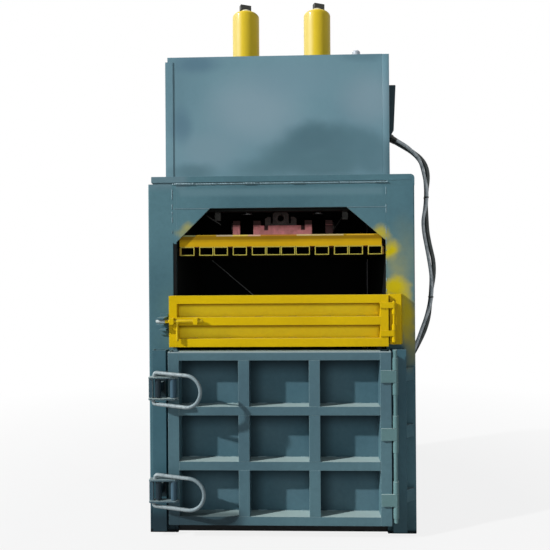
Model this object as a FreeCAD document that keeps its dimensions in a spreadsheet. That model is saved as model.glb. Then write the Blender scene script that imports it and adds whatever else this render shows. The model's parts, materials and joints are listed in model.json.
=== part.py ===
import FreeCAD, Part
import math
import os
import re
import Sketcher

# Vertical recycling baler, in millimetres. X is the width, -Y the front with the two doors, +Z up.
# The origin is under the middle of the machine, on the floor.

doc = FreeCAD.newDocument("RecyclingBaler")
sheet = doc.addObject("Spreadsheet::Sheet", "Sizes")

DRIVING = {
    # main frame
    "frameWidth": (1500, "width over the two front columns"),
    "frameDepth": (900, "depth from the front columns' faces to the rear posts' faces"),
    "columnHeight": (1968, "height of the columns and posts"),
    "columnWidth": (146, "width of a column's web"),
    "columnDepth": (150, "depth of a column's flanges"),
    "columnGauge": (10, "thickness of the columns' plate"),
    "bendRadius": (8, "outer radius where a column's web is bent"),
    "wallGauge": (14, "thickness of the chamber's side walls"),
    "rearGauge": (10, "thickness of the chamber's rear wall"),
    "rearChannelDepth": (80, "depth of the channels behind the rear wall"),
    "channelHeight": (100, "height of a stiffening channel"),
    "channelGauge": (6, "thickness of a stiffening channel"),
    "channelPitch": (400, "distance from one side channel to the next"),
    "channelFirst": (250, "height of the lowest side channel's middle"),
    # front opening above the doors
    "headerGauge": (12, "thickness of the header plate"),
    "headerSill": (1830, "height of the header's level edge"),
    "headerFoot": (1640, "height where its slanted edges reach the walls"),
    "headerLeft": (398, "left end of its level edge from the middle"),
    "headerRight": (371, "right end of its level edge"),
    # upper base frame and housing
    "ledgeHalf": (731, "half width of the upper base frame"),
    "ledgeGauge": (34, "height of its edge"),
    "ledgeNose": (2, "how far it stands out in front of the columns"),
    "seatGauge": (8, "height of the narrower seat under it"),
    "seatInset": (6, "how far the seat is set back from the edge"),
    "housingTop": (2700, "height of the upper housing's roof"),
    "housingLeft": (644, "its left side from the middle"),
    "housingRight": (620, "its right side from the middle"),
    "housingFront": (50, "its front panel behind the columns' faces"),
    "housingDepth": (800, "its depth"),
    "sheetGauge": (4, "thickness of its sheet"),
    "returnLeft": (40, "width of the left panel's front return"),
    "returnRight": (42, "width of the right panel's front return"),
    # cylinders
    "cylinderHalf": (227, "cylinder axis from the middle"),
    "cylinderInset": (450, "cylinder axis behind the columns' faces"),
    "barrelRadius": (84.5, "outer radius of a barrel"),
    "boreRadius": (65, "bore radius of a barrel"),
    "barrelLength": (1088, "barrel from its flange to its shoulder"),
    "shoulderRise": (29, "height of the sloped shoulder"),
    "shoulderFlat": (41, "radius of the flat end above the shoulder"),
    "capGauge": (40, "thickness of a barrel's closed ends"),
    "flangeSize": (240, "side of the square flange"),
    "flangeGauge": (30, "thickness of the flange"),
    "flangeBolts": (190, "distance between two flange bolts"),
    "rodRadius": (35, "radius of a piston rod"),
    "pistonHeight": (60, "height of a piston"),
    "fitGap": (0.1, "radial clearance of a running fit"),
    # platen
    "platenBottom": (1563, "underside of the raised platen"),
    "platenInset": (20, "its front edge behind the columns' faces"),
    "platenDepth": (770, "its depth"),
    "tubeWidth": (80, "width of one of its twelve tubes"),
    "tubeHeight": (50, "height of a tube"),
    "tubeGauge": (5, "wall of a tube"),
    "strapSlot": (28, "gap between two tubes that a bale strap passes through"),
    "seamGap": (3, "gap between two tubes that stand together"),
    "plateGauge": (12, "thickness of the plate over the tubes"),
    "beamHeight": (67, "height of the beams along its edges"),
    "beamDepth": (60, "depth of a beam's flange"),
    "beamGauge": (8, "thickness of a beam"),
    "earGauge": (45, "thickness of a rod's ear"),
    "earSpread": (65, "middle of an ear from the rod's axis"),
    "earHeight": (174, "height of an ear over the plate"),
    "pinHeight": (132, "height of the rod pin over the plate"),
    "pinRadius": (20, "radius of a rod pin"),
    "girderHeight": (141, "height of the girder between the ears"),
    # floor
    "baseTube": (60, "height of the base tubes"),
    "floorTop": (98, "height of the chamber floor"),
    # doors
    "doorLeft": (620, "left edge of both doors from the middle"),
    "doorRight": (598, "right edge of the main door"),
    "doorBottom": (84, "lower edge of the main door"),
    "doorHeight": (948, "height of the main door"),
    "doorProud": (105, "its front face before the columns' faces"),
    "doorGap": (4, "running gap between the doors and the columns"),
    "doorSkin": (8, "thickness of its skin"),
    "stileWidth": (60, "width of its stiles and upright ribs"),
    "railHeight": (48, "height of its rails and level ribs"),
    "sectionGauge": (5, "wall of the doors' hollow sections"),
    "feedRight": (591, "right edge of the feed door"),
    "feedBottom": (1054, "lower edge of the feed door"),
    "feedHeight": (284, "height of the feed door"),
    "feedProud": (70, "its front face before the columns' faces"),
    "feedSkin": (5, "thickness of its skin"),
    "feedRail": (45, "height of its rails, and width of its stiles"),
    # jambs and hinges
    "jambWidth": (76, "width of the bars beside the main door"),
    "jambProud": (60, "how far they stand out"),
    "jambTop": (1036, "height of their upper ends"),
    "jambFoot": (30, "height of their lower ends"),
    "jambLeft": (642, "inner side of the left jamb"),
    "jambRight": (611, "inner side of the right jamb"),
    "hingeAxis": (620, "hinge axis of both doors from the middle"),
    "hingeProud": (100, "main hinge axis before the columns' faces"),
    "hingeRadius": (15.5, "outer radius of a main knuckle"),
    "hingePin": (11, "radius of the main hinge pin"),
    "knuckleHeight": (66, "height of a main knuckle"),
    "knuckleGap": (1, "gap between two knuckles"),
    "hingeTop": (896, "middle of the top hinge"),
    "hingeMiddle": (582, "middle of the middle hinge"),
    "hingeLow": (226, "middle of the lowest hinge"),
    "strapGauge": (10, "thickness of a hinge strap"),
    "feedHingeProud": (64, "feed hinge axis before the columns' faces"),
    "feedKnuckle": (11.5, "outer radius of a feed door knuckle"),
    "feedPin": (6, "radius of the feed door's hinge pin"),
    "feedKnuckleHeight": (32, "height of a feed door knuckle"),
    # feed door bolt
    "boltHeight": (1198, "height of the bolt's axis"),
    "boltProud": (86, "its axis before the columns' faces"),
    "boltRadius": (9.5, "its radius"),
    "boltNose": (688, "its left end from the middle"),
    "boltLength": (259, "its length"),
    "boltGrip": (110, "length of its hanging handle"),
    # door latches
    "latchPivot": (584, "latch pivot from the middle"),
    "latchProud": (140, "latch pivot before the columns' faces"),
    "latchHeight": (840.5, "middle of the upper latch"),
    "latchDrop": (553, "lower latch below the upper one"),
    "clawHalf": (57.5, "middle of a claw plate from the latch's middle"),
    "clawGauge": (9, "thickness of a claw plate"),
    "clawReach": (131, "claw's outer end from the pivot"),
    "pivotRadius": (9, "radius of the pivot's shaft"),
    "catchReach": (82, "catch pin from the pivot"),
    "catchRadius": (16, "radius of a catch pin"),
    "handleStart": (105, "handle's welded ends from the pivot"),
    "handleLength": (279, "handle from its ends to its bend"),
    "handleHalf": (85, "half the distance between its two legs"),
    "handleRod": (10, "radius of its round bar"),
    "handleTilt": (17, "degrees that the upper one stands out from the door"),
    "lowerTilt": (8, "degrees that the lower one stands out"),
    "handleDroop": (2.5, "degrees that the upper one droops"),
    "lowerDroop": (4, "degrees that the lower one droops"),
}
for row, (alias, (number, note)) in enumerate(DRIVING.items(), start=1):
    sheet.set("A%d" % row, note)
    sheet.set("B%d" % row, str(number))
    sheet.setAlias("B%d" % row, alias)
doc.recompute()


def formula(text):
    """The text with the sheet's name before each of its aliases."""
    return re.sub(r"[A-Za-z]+", lambda word: "Sizes." + word[0] if word[0] in DRIVING else word[0], str(text))


def value(text):
    return float(sheet.evalExpression(formula(text)))


# Places that many pieces share
HANDLE_SPAN = "((handleLength - handleHalf) * cos(handleDroop) + handleHalf)"
REACH = "(latchProud + %s * sin(handleTilt) + handleRod)" % HANDLE_SPAN
FACE = "((%s - frameDepth) / 2)" % REACH
INNER = "(frameWidth / 2 - columnWidth)"
CHAMBER = "(frameWidth / 2 - columnWidth - wallGauge)"
REAR_WALL = "(%s + frameDepth - rearChannelDepth - rearGauge)" % FACE
CYLINDER_Y = "(%s + cylinderInset)" % FACE
LEDGE_TOP = "(columnHeight + seatGauge + ledgeGauge)"
PLATE_TOP = "(platenBottom + tubeHeight + plateGauge)"
PIN_HEIGHT = "(%s + pinHeight)" % PLATE_TOP
BARREL_TOP = "(%s + barrelLength + shoulderRise)" % LEDGE_TOP

parts = []


def keep(piece, label):
    """The object becomes the sub-part of that name."""
    piece.Label = label
    parts.append(piece)
    return piece


def set_place(piece, x, y, z):
    for axis, text in zip("xyz", (x, y, z)):
        piece.setExpression(".Placement.Base." + axis, formula(text))


def new_body(name, at=(0, 0, 0), turn=None):
    body = doc.addObject("PartDesign::Body", name)
    body.AllowCompound = True
    if turn:
        axis, degrees = turn
        body.Placement = FreeCAD.Placement(FreeCAD.Vector(), FreeCAD.Rotation(FreeCAD.Vector(*axis), degrees))
    set_place(body, *at)
    return body


def origin_feature(body, role):
    return next(feature for feature in body.Origin.OriginFeatures if feature.Role == role)


def new_sketch(body, plane):
    sketch = body.newObject("Sketcher::SketchObject", body.Name + "_sketch")
    sketch.AttachmentSupport = [(origin_feature(body, plane + "_Plane"), "")]
    sketch.MapMode = "FlatFace"
    return sketch


def draw_polygon(sketch, points):
    """A closed outline whose corners are bound to the sheet."""
    corners = [FreeCAD.Vector(value(x), value(y), 0) for x, y in points]
    count = len(corners)
    first = sketch.GeometryCount
    for i in range(count):
        sketch.addGeometry(Part.LineSegment(corners[i], corners[(i + 1) % count]))
    for i in range(count):
        sketch.addConstraint(Sketcher.Constraint("Coincident", first + i, 2, first + (i + 1) % count, 1))
    for i in range(count):
        for kind, number, text in zip(("DistanceX", "DistanceY"), corners[i], points[i]):
            place = sketch.addConstraint(Sketcher.Constraint(kind, -1, 1, first + i, 1, number))
            sketch.setExpression("Constraints[%d]" % place, formula(text))


def draw_box(sketch, x0, x1, y0, y1):
    draw_polygon(sketch, [(x0, y0), (x1, y0), (x1, y1), (x0, y1)])


def draw_circle(sketch, x, y, radius):
    centre = FreeCAD.Vector(value(x), value(y), 0)
    ring = sketch.addGeometry(Part.Circle(centre, FreeCAD.Vector(0, 0, 1), value(radius)))
    for kind, number, text in zip(("DistanceX", "DistanceY"), centre, (x, y)):
        place = sketch.addConstraint(Sketcher.Constraint(kind, -1, 1, ring, 3, number))
        sketch.setExpression("Constraints[%d]" % place, formula(text))
    place = sketch.addConstraint(Sketcher.Constraint("Radius", ring, value(radius)))
    sketch.setExpression("Constraints[%d]" % place, formula(radius))


def add_pad(body, sketch, length):
    """Fills the sketch towards +X, +Y or +Z."""
    pad = body.newObject("PartDesign::Pad", body.Name + "_pad")
    pad.Profile = sketch
    pad.setExpression("Length", formula(length))
    pad.Reversed = "XZ_Plane" in sketch.AttachmentSupport[0][0].Role
    return pad


def add_pocket(body, sketch):
    """Cuts the sketch right through the body, both ways."""
    pocket = body.newObject("PartDesign::Pocket", body.Name + "_pocket")
    pocket.Profile = sketch
    pocket.Type = "ThroughAll"
    pocket.Midplane = True
    return pocket


def add_row(body, feature, axis, length, count):
    """Repeats a feature along one of the body's axes."""
    row = body.newObject("PartDesign::LinearPattern", body.Name + "_row")
    row.Originals = [feature]
    row.Direction = (origin_feature(body, axis + "_Axis"), [""])
    row.setExpression("Length", formula(length))
    row.Occurrences = count
    body.Tip = row
    return row


def round_edges(body, feature, radius, wanted):
    """Rounds the edges of a feature that the test picks."""
    doc.recompute()
    names = ["Edge%d" % n for n, edge in enumerate(feature.Shape.Edges, start=1) if wanted(edge)]
    fillet = body.newObject("PartDesign::Fillet", body.Name + "_fillet")
    fillet.Base = (feature, names)
    fillet.setExpression("Radius", formula(radius))
    return fillet


def prism(name, plane, outlines, length, at=(0, 0, 0)):
    """A body made by padding one sketch of polygons, given as lists of points, and circles, given as
    (x, y, radius)."""
    body = new_body(name, at)
    sketch = new_sketch(body, plane)
    for outline in outlines:
        if isinstance(outline, tuple):
            draw_circle(sketch, *outline)
        else:
            draw_polygon(sketch, outline)
    add_pad(body, sketch, length)
    return body


def box_outline(x0, x1, y0, y1):
    return [(x0, y0), (x1, y0), (x1, y1), (x0, y1)]


def tube_outlines(x0, x1, y0, y1, gauge):
    """Outer and inner outline of a hollow section."""
    inner = box_outline("%s + %s" % (x0, gauge), "%s - %s" % (x1, gauge),
                        "%s + %s" % (y0, gauge), "%s - %s" % (y1, gauge))
    return [box_outline(x0, x1, y0, y1), inner]


def channel_outline(x0, x1, y0, y1, gauge):
    """A channel whose web stands at x1 and whose flanges reach back to x0."""
    web = "%s - %s" % (x1, gauge) if value(x1) > value(x0) else "%s + %s" % (x1, gauge)
    low, high = "%s + %s" % (y0, gauge), "%s - %s" % (y1, gauge)
    return [(x0, y0), (x1, y0), (x1, y1), (x0, y1), (x0, high), (web, high), (web, low), (x0, low)]


def turned(name, outline, at, turn=None):
    """A body turned about its own Z axis from an outline of (radius, height) points."""
    body = new_body(name, at, turn)
    sketch = new_sketch(body, "XZ")
    draw_polygon(sketch, outline)
    lathe = body.newObject("PartDesign::Revolution", name + "_turned")
    lathe.Profile = sketch
    lathe.ReferenceAxis = (origin_feature(body, "Z_Axis"), [""])
    lathe.Angle = 360
    return body


def cylinder(name, radius, length, at, turn=None):
    rod = doc.addObject("Part::Cylinder", name)
    rod.setExpression("Radius", formula(radius))
    rod.setExpression("Height", formula(length))
    if turn:
        axis, degrees = turn
        rod.Placement = FreeCAD.Placement(FreeCAD.Vector(), FreeCAD.Rotation(FreeCAD.Vector(*axis), degrees))
    set_place(rod, *at)
    return rod


def group(label, members):
    """Several like solids kept as one sub-part."""
    bundle = doc.addObject("Part::Compound", label)
    bundle.Links = members
    return keep(bundle, label)


def weld(label, members):
    """Several solids joined into one sub-part."""
    joined = doc.addObject("Part::MultiFuse", label)
    joined.Shapes = members
    return keep(joined, label)


def is_upright(edge):
    ends = [vertex.Point for vertex in edge.Vertexes]
    return len(ends) == 2 and (ends[0] - ends[1]).cross(FreeCAD.Vector(0, 0, 1)).Length < 1e-6


SIDES = (("left", "-1"), ("right", "1"))


# columns, posts and walls

def column_outline(sign, direction):
    """A bent column with its web at Y = 0 and its flanges reaching along the direction."""
    inner, outer = "%s * %s" % (sign, INNER), "%s * frameWidth / 2" % sign
    inner_wall = "%s * (%s + columnGauge)" % (sign, INNER)
    outer_wall = "%s * (frameWidth / 2 - columnGauge)" % sign
    end, web = "%s * columnDepth" % direction, "%s * columnGauge" % direction
    return [(inner, 0), (outer, 0), (outer, end), (outer_wall, end),
            (outer_wall, web), (inner_wall, web), (inner_wall, end), (inner, end)]


for side, sign in SIDES:
    column = new_body(side + "_column_body", (0, FACE, 0))
    sketch = new_sketch(column, "XY")
    draw_polygon(sketch, column_outline(sign, 1))
    web = add_pad(column, sketch, "columnHeight")
    round_edges(column, web, "bendRadius",
                lambda edge: is_upright(edge) and abs(edge.Vertexes[0].Y) < 0.01)
    keep(column, side + "_column")

posts = [prism(side + "_rear_post", "XY", [column_outline(sign, -1)], "columnHeight",
               (0, "%s + frameDepth" % FACE, 0)) for side, sign in SIDES]
group("rear_posts", posts)

wall_depth = "(frameDepth - rearChannelDepth)"
walls = [box_outline("%s * %s" % (sign, CHAMBER), "%s * %s" % (sign, INNER), 0, wall_depth)
         for side, sign in SIDES]
keep(prism("side_wall_plates", "XY", walls, "columnHeight", (0, FACE, 0)), "side_walls")
keep(prism("rear_wall_plate", "XZ", [box_outline("-" + CHAMBER, CHAMBER, 0, "columnHeight")],
           "rearGauge", (0, REAR_WALL, 0)), "rear_wall")

# side channels run from the column to the rear post, one above the other
side_channels = new_body("side_channel_rows", (0, "%s + columnDepth" % FACE, "channelFirst"))
sketch = new_sketch(side_channels, "XZ")
for side, sign in SIDES:
    draw_polygon(sketch, channel_outline("%s * %s" % (sign, INNER), "%s * frameWidth / 2" % sign,
                                         "-channelHeight / 2", "channelHeight / 2", "channelGauge"))
first_channel = add_pad(side_channels, sketch, "frameDepth - 2 * columnDepth")
add_row(side_channels, first_channel, "Z", "4 * channelPitch", 5)
keep(side_channels, "side_channels")

rear_channels = new_body("rear_channel_rows", ("-" + INNER, "%s + rearGauge" % REAR_WALL, "channelFirst"))
sketch = new_sketch(rear_channels, "YZ")
draw_polygon(sketch, channel_outline("0", "rearChannelDepth", "-channelHeight / 2", "channelHeight / 2",
                                     "channelGauge"))
first_channel = add_pad(rear_channels, sketch, "2 * %s" % INNER)
add_row(rear_channels, first_channel, "Z", "4 * channelPitch", 5)
keep(rear_channels, "rear_channels")

# a slanted tie and an upright bead lie against the rear wall, behind the platen's path
rod_y = "%s - 4" % REAR_WALL
slanted = cylinder("rear_tie", 4, 480, (-560, rod_y, 1608), ((0, 1, 0), 130.5))
bead = cylinder("rear_corner_bead", 4, 1800, ("%s - 14" % CHAMBER, rod_y, "floorTop"))
group("rear_rods", [slanted, bead])

# header, top beams and upper base frame
header = [("-" + CHAMBER, "columnHeight"), ("-" + CHAMBER, "headerFoot"), ("-headerLeft", "headerSill"),
          ("headerRight", "headerSill"), (CHAMBER, "headerFoot"), (CHAMBER, "columnHeight")]
keep(prism("header", "XZ", [header], "headerGauge", (0, FACE, 0)), "header_plate")

beam_gap, beam_flange = "(flangeSize / 2 + 30)", 60
top_beam_low = "columnHeight - 130"
top_beams = prism("top_beam_pair", "YZ", [
    channel_outline("%s + %d" % (beam_gap, beam_flange), beam_gap, top_beam_low, "columnHeight", "beamGauge"),
    channel_outline("-%s - %d" % (beam_gap, beam_flange), "-" + beam_gap, top_beam_low, "columnHeight",
                    "beamGauge")],
    "2 * %s" % CHAMBER, ("-" + CHAMBER, CYLINDER_Y, 0))
keep(top_beams, "top_beams")


def limit_switch(name, middle, outward, lever):
    """A switch under the front top beam, with its slanted lever."""
    body = new_body(name, (middle, "%s - %s - 45" % (CYLINDER_Y, beam_gap), top_beam_low))
    sketch = new_sketch(body, "XZ")
    draw_box(sketch, -17, 17, -52, 0)
    add_pad(body, sketch, 34)
    sketch = new_sketch(body, "XZ")
    sketch.AttachmentOffset = FreeCAD.Placement(FreeCAD.Vector(0, 0, 8), FreeCAD.Rotation())
    (x0, z0), (x1, z1) = lever
    draw_polygon(sketch, [("%s * %s" % (outward, x), z) for x, z in
                          ((x0, z0 - 5), (x1, z1 - 5), (x1 + 5, z1 + 5), (x0 + 5, z0 + 5))])
    add_pad(body, sketch, 8)
    return body


group("limit_switches", [limit_switch("left_switch", -390, "-1", ((-22, -78), (62, -24))),
                         limit_switch("right_switch", 382, "1", ((-70, -112), (-14, -28)))])

ledge = new_body("upper_base", (0, FACE, "columnHeight"))
sketch = new_sketch(ledge, "XY")
draw_box(sketch, "-ledgeHalf + seatInset", "ledgeHalf - seatInset", "seatInset", "frameDepth - seatInset")
add_pad(ledge, sketch, "seatGauge")
sketch = new_sketch(ledge, "XY")
sketch.AttachmentOffset.Base.z = value("seatGauge")
sketch.setExpression(".AttachmentOffset.Base.z", formula("seatGauge"))
draw_box(sketch, "-ledgeHalf", "ledgeHalf", "-ledgeNose", "frameDepth")
add_pad(ledge, sketch, "ledgeGauge")
sketch = new_sketch(ledge, "XY")
for side, sign in SIDES:
    draw_circle(sketch, "%s * cylinderHalf" % sign, "cylinderInset", "rodRadius + 15")
add_pocket(ledge, sketch)
keep(ledge, "upper_base_frame")

# floor


def twelve_spans(width, slot, seam):
    """Left edges of the twelve tubes, in the order single, pair, single, four, single, pair, single."""
    gaps = (slot, seam, slot, slot, seam, seam, seam, slot, slot, seam, slot)
    total = "(12 * %s + 6 * %s + 5 * %s)" % (width, slot, seam)
    edges, passed = [], {slot: 0, seam: 0}
    for index in range(12):
        edges.append("-%s / 2 + %d * %s + %d * %s + %d * %s"
                     % (total, index, width, passed[slot], slot, passed[seam], seam))
        if index < 11:
            passed[gaps[index]] += 1
    return edges


left_edges = twelve_spans("tubeWidth", "strapSlot", "seamGap")
base_tubes = new_body("base_tube_row", ("-" + CHAMBER, "%s + 24" % FACE, 0))
sketch = new_sketch(base_tubes, "YZ")
for outline in tube_outlines("0", "80", "0", "baseTube", "sectionGauge"):
    draw_polygon(sketch, outline)
first_tube = add_pad(base_tubes, sketch, "2 * %s" % CHAMBER)
add_row(base_tubes, first_tube, "Y", "frameDepth - rearChannelDepth - rearGauge - 24 - 80", 3)
keep(base_tubes, "base_tubes")

floor_bars = []
for edge in left_edges:
    floor_bars += tube_outlines(edge, edge + " + tubeWidth", "baseTube", "floorTop", "tubeGauge")
keep(prism("floor_bar_row", "XZ", floor_bars, "frameDepth - rearChannelDepth - rearGauge - 4",
           (0, "%s + 2" % FACE, 0)), "floor_bars")

# jambs beside the main door
jambs = tube_outlines("-jambLeft - jambWidth", "-jambLeft", "-jambProud", "0", "sectionGauge")
jambs += tube_outlines("jambRight", "jambRight + jambWidth", "-jambProud", "0", "sectionGauge")
keep(prism("jamb_bars", "XY", jambs, "jambTop - jambFoot", (0, FACE, "jambFoot")), "jambs")

HINGES = ("hingeTop", "hingeMiddle", "hingeLow")
jamb_edge = "jambRight + jambWidth"
gusset = [(jamb_edge, 0), (jamb_edge, "-jambProud + 10"), (jamb_edge + " + 50", -8), (jamb_edge + " + 50", 0)]
group("jamb_gussets", [prism("gusset_" + height, "XY", [gusset], 68, (0, FACE, "%s - 34" % height))
                       for height in HINGES])


def knuckle(name, leaf, axis, radius, pin, height, at_z):
    """A hinge knuckle on its leaf, bored for the pin. The leaf is (x0, x1, y0, y1)."""
    body = new_body(name, (0, FACE, at_z))
    for draw, outline in ((draw_box, leaf), (draw_circle, axis + (radius,))):
        sketch = new_sketch(body, "XY")
        draw(sketch, *outline)
        add_pad(body, sketch, height)
    sketch = new_sketch(body, "XY")
    draw_circle(sketch, *axis, "%s + fitGap" % pin)
    add_pocket(body, sketch)
    return body


main_axis = ("hingeAxis", "-hingeProud")
frame_leaf = ("hingeAxis - 8", "hingeAxis + 15", "-hingeProud", "-jambProud")
strap_leaf = ("hingeAxis - 79", "hingeAxis", "-doorProud - strapGauge", "-doorProud")
fixed_knuckles, door_knuckles = [], []
for height in HINGES:
    step = "(knuckleHeight + knuckleGap)"
    low = "%s - knuckleHeight / 2" % height
    door_knuckles.append(knuckle("strap_" + height, strap_leaf, main_axis, "hingeRadius", "hingePin",
                                 "knuckleHeight", low))
    for name, shift in (("above_", " + "), ("below_", " - ")):
        fixed_knuckles.append(knuckle(name + height, frame_leaf, main_axis, "hingeRadius", "hingePin",
                                      "knuckleHeight", low + shift + step))
group("jamb_knuckles", fixed_knuckles)

FEED_HINGES = {"low": "feedBottom + 56", "high": "feedBottom + 210"}
feed_axis = ("hingeAxis", "-feedHingeProud")
feed_step = "(feedKnuckleHeight + knuckleGap)"
hat_front, hat_back = "-feedHingeProud + 14", "-feedHingeProud + 22"
bracket = prism("feed_bracket_hat", "XY", [[
    ("hingeAxis - 20", 0), ("hingeAxis - 20", hat_front), ("hingeAxis + 43", hat_front), ("hingeAxis + 58", 0),
    ("hingeAxis + 49", 0), ("hingeAxis + 36", hat_back), ("hingeAxis - 12", hat_back), ("hingeAxis - 12", 0)]],
    278, (0, FACE, "feedBottom + 9"))
feed_leaf = ("hingeAxis - 8", "hingeAxis + 8", "-feedHingeProud", "-feedHingeProud + 15")
fixed_leaves = [knuckle("bracket_knuckle_" + name, feed_leaf, feed_axis, "feedKnuckle", "feedPin",
                        "feedKnuckleHeight", place)
                for name, place in (("under", FEED_HINGES["low"] + " - " + feed_step),
                                    ("over", FEED_HINGES["low"] + " + " + feed_step),
                                    ("upper", FEED_HINGES["high"] + " - " + feed_step))]
weld("feed_hinge_bracket", [bracket] + fixed_leaves)

group("hinge_pins", [
    cylinder("main_pin", "hingePin", 940, ("hingeAxis", "%s - hingeProud" % FACE, 100)),
    cylinder("feed_pin", "feedPin", 228, ("hingeAxis", "%s - feedHingeProud" % FACE, "feedBottom + 20"))])

# keeper and catches on the left side
cheek = "boltRadius + 3.5"
keeper_outline = [(0, "boltHeight - 80"), (0, "boltHeight + 38"), (-10, "boltHeight + 38"),
                  (-10, "boltHeight + %s + 8" % cheek), (-105, "boltHeight + %s + 8" % cheek),
                  (-105, "boltHeight + %s" % cheek), (-10, "boltHeight + %s" % cheek),
                  (-10, "boltHeight - (%s)" % cheek), (-105, "boltHeight - (%s)" % cheek),
                  (-105, "boltHeight - (%s) - 8" % cheek), (-10, "boltHeight - (%s) - 8" % cheek),
                  (-10, "boltHeight - 46"), (-50, "boltHeight - 46"), (-50, "boltHeight - 56"),
                  (-10, "boltHeight - 56"), (-10, "boltHeight - 80")]
keep(prism("bolt_keeper_plate", "YZ", [keeper_outline], 41, (-681, FACE, 0)), "bolt_keeper")

LATCHES = (("upper", "latchHeight"), ("lower", "latchHeight - latchDrop"))


def catch(name, middle):
    """An upright pin on a block, welded to the left jamb."""
    body = new_body(name, ("-latchPivot - catchReach", FACE, middle))
    for draw, outline, half in ((draw_box, (-14, 14, "-latchProud", "-jambProud"), 25),
                                (draw_circle, (0, "-latchProud", "catchRadius"), 48)):
        sketch = new_sketch(body, "XY")
        sketch.AttachmentOffset = FreeCAD.Placement(FreeCAD.Vector(0, 0, -half), FreeCAD.Rotation())
        draw(sketch, *outline)
        add_pad(body, sketch, 2 * half)
    return body


group("door_catches", [catch(name + "_catch", middle) for name, middle in LATCHES])

# upper housing
housing_y = "%s + housingFront" % FACE
housing_height = "housingTop - %s" % LEDGE_TOP
keep(prism("front_panel", "XZ", [box_outline("-housingLeft", "housingRight - returnRight + 3",
                                             0, housing_height)],
           "sheetGauge", (0, "%s - sheetGauge" % housing_y, LEDGE_TOP)), "housing_front")
left_panel = [("-housingLeft", 0), ("-housingLeft + returnLeft", 0), ("-housingLeft + returnLeft", "sheetGauge"),
              ("-housingLeft + sheetGauge", "sheetGauge"), ("-housingLeft + sheetGauge", "housingDepth"),
              ("-housingLeft", "housingDepth")]
right_panel = [("housingRight", 0), ("housingRight - returnRight", 0),
               ("housingRight - returnRight", "sheetGauge"), ("housingRight - sheetGauge", "sheetGauge"),
               ("housingRight - sheetGauge", "housingDepth"), ("housingRight", "housingDepth")]
rear_panel = box_outline("-housingLeft + sheetGauge", "housingRight - sheetGauge",
                         "housingDepth - sheetGauge", "housingDepth")
corner_strip = [("-housingLeft - 12", -12), ("-housingLeft + 32", -12), ("-housingLeft + 32", "-sheetGauge"),
                ("-housingLeft", "-sheetGauge"), ("-housingLeft", 60), ("-housingLeft - 12", 60)]
panels = [prism(name, "XY", [outline], housing_height + " - sheetGauge", (0, housing_y, LEDGE_TOP))
          for name, outline in (("left_panel", left_panel), ("right_panel", right_panel),
                                ("rear_panel", rear_panel))]
panels.append(prism("corner_strip", "XY", [corner_strip], housing_height + " - 28", (0, housing_y, LEDGE_TOP)))
group("housing_panels", panels)
roof = [box_outline("-housingLeft", "housingRight", 0, "housingDepth")]
roof += [("%s * cylinderHalf" % sign, "cylinderInset - housingFront", "barrelRadius + 6")
         for side, sign in SIDES]
keep(prism("housing_roof", "XY", roof, "sheetGauge", (0, housing_y, "housingTop - sheetGauge")), "housing_top")
breather = [(0, 0), (12, 0), (12, 12), (23, 16), (23, 36), (17, 43), (0, 43)]
keep(turned("breather_cap", breather, (441, "%s + 110" % FACE, "housingTop")), "breather")

# cylinders
barrel = [("rodRadius + fitGap", 0), ("barrelRadius", 0), ("barrelRadius", "barrelLength"),
          ("barrelRadius - 7", "barrelLength + 13"), ("barrelRadius - 20", "barrelLength + 23"),
          ("shoulderFlat", "barrelLength + shoulderRise"), (0, "barrelLength + shoulderRise"),
          (0, "barrelLength - capGauge"), ("boreRadius", "barrelLength - capGauge"),
          ("boreRadius", "capGauge"), ("rodRadius + fitGap", "capGauge")]
corners = [("%d * flangeBolts / 2" % x, "%d * flangeBolts / 2" % y) for x in (-1, 1) for y in (-1, 1)]
bolt_heads = []
for side, sign in SIDES:
    axis_x = "%s * cylinderHalf" % sign
    body = turned(side + "_barrel", barrel, (axis_x, CYLINDER_Y, LEDGE_TOP))
    sketch = new_sketch(body, "XY")
    draw_box(sketch, "-flangeSize / 2", "flangeSize / 2", "-flangeSize / 2", "flangeSize / 2")
    draw_circle(sketch, 0, 0, "barrelRadius - 5")
    add_pad(body, sketch, "flangeGauge")
    keep(body, side + "_cylinder")
    for number, (x, y) in enumerate(corners, start=1):
        head = doc.addObject("Part::Prism", "%s_bolt_%d" % (side, number))
        head.Polygon = 6
        head.Circumradius = 18
        head.Height = 16
        set_place(head, "%s + %s" % (axis_x, x), "%s + %s" % (CYLINDER_Y, y), "%s + flangeGauge" % LEDGE_TOP)
        bolt_heads.append(head)
group("flange_bolts", bolt_heads)

boss = [(0, 0), (33, 0), (33, 10), (28, 16), (0, 16)]
group("cylinder_bosses", [turned(side + "_boss", boss, ("%s * cylinderHalf" % sign, CYLINDER_Y, BARREL_TOP))
                          for side, sign in SIDES])
blocks = []
for (side, sign), shift in zip(SIDES, ("- 3", "+ 11")):
    body = new_body(side + "_block", ("%s * cylinderHalf %s" % (sign, shift), CYLINDER_Y, "%s + 16" % BARREL_TOP),
                    ((0, 0, 1), 22))
    sketch = new_sketch(body, "XY")
    draw_box(sketch, -35, 35, -16, 16)
    pad = add_pad(body, sketch, 35)
    round_edges(body, pad, 3, lambda edge: edge.BoundBox.ZMax > 30)
    blocks.append(body)
group("port_blocks", blocks)

# hydraulic power unit inside the housing
tank = new_body("tank", (-600, "%s + 130" % FACE, LEDGE_TOP))
sketch = new_sketch(tank, "XY")
draw_box(sketch, 0, 220, 0, 620)
pad = add_pad(tank, sketch, 400)
round_edges(tank, pad, 20, is_upright)
keep(tank, "oil_tank")
motor = [(0, 0), (70, 0), (70, 110), (95, 120), (95, 150), (105, 150), (105, 400), (90, 420), (0, 420)]
group("power_unit", [turned("pump_and_motor", motor, (0, "%s + 690" % FACE, LEDGE_TOP)),
                     prism("valve_block", "XY", [box_outline(-60, 60, -45, 45)], 130,
                           (0, "%s + 230" % FACE, LEDGE_TOP))])

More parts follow.
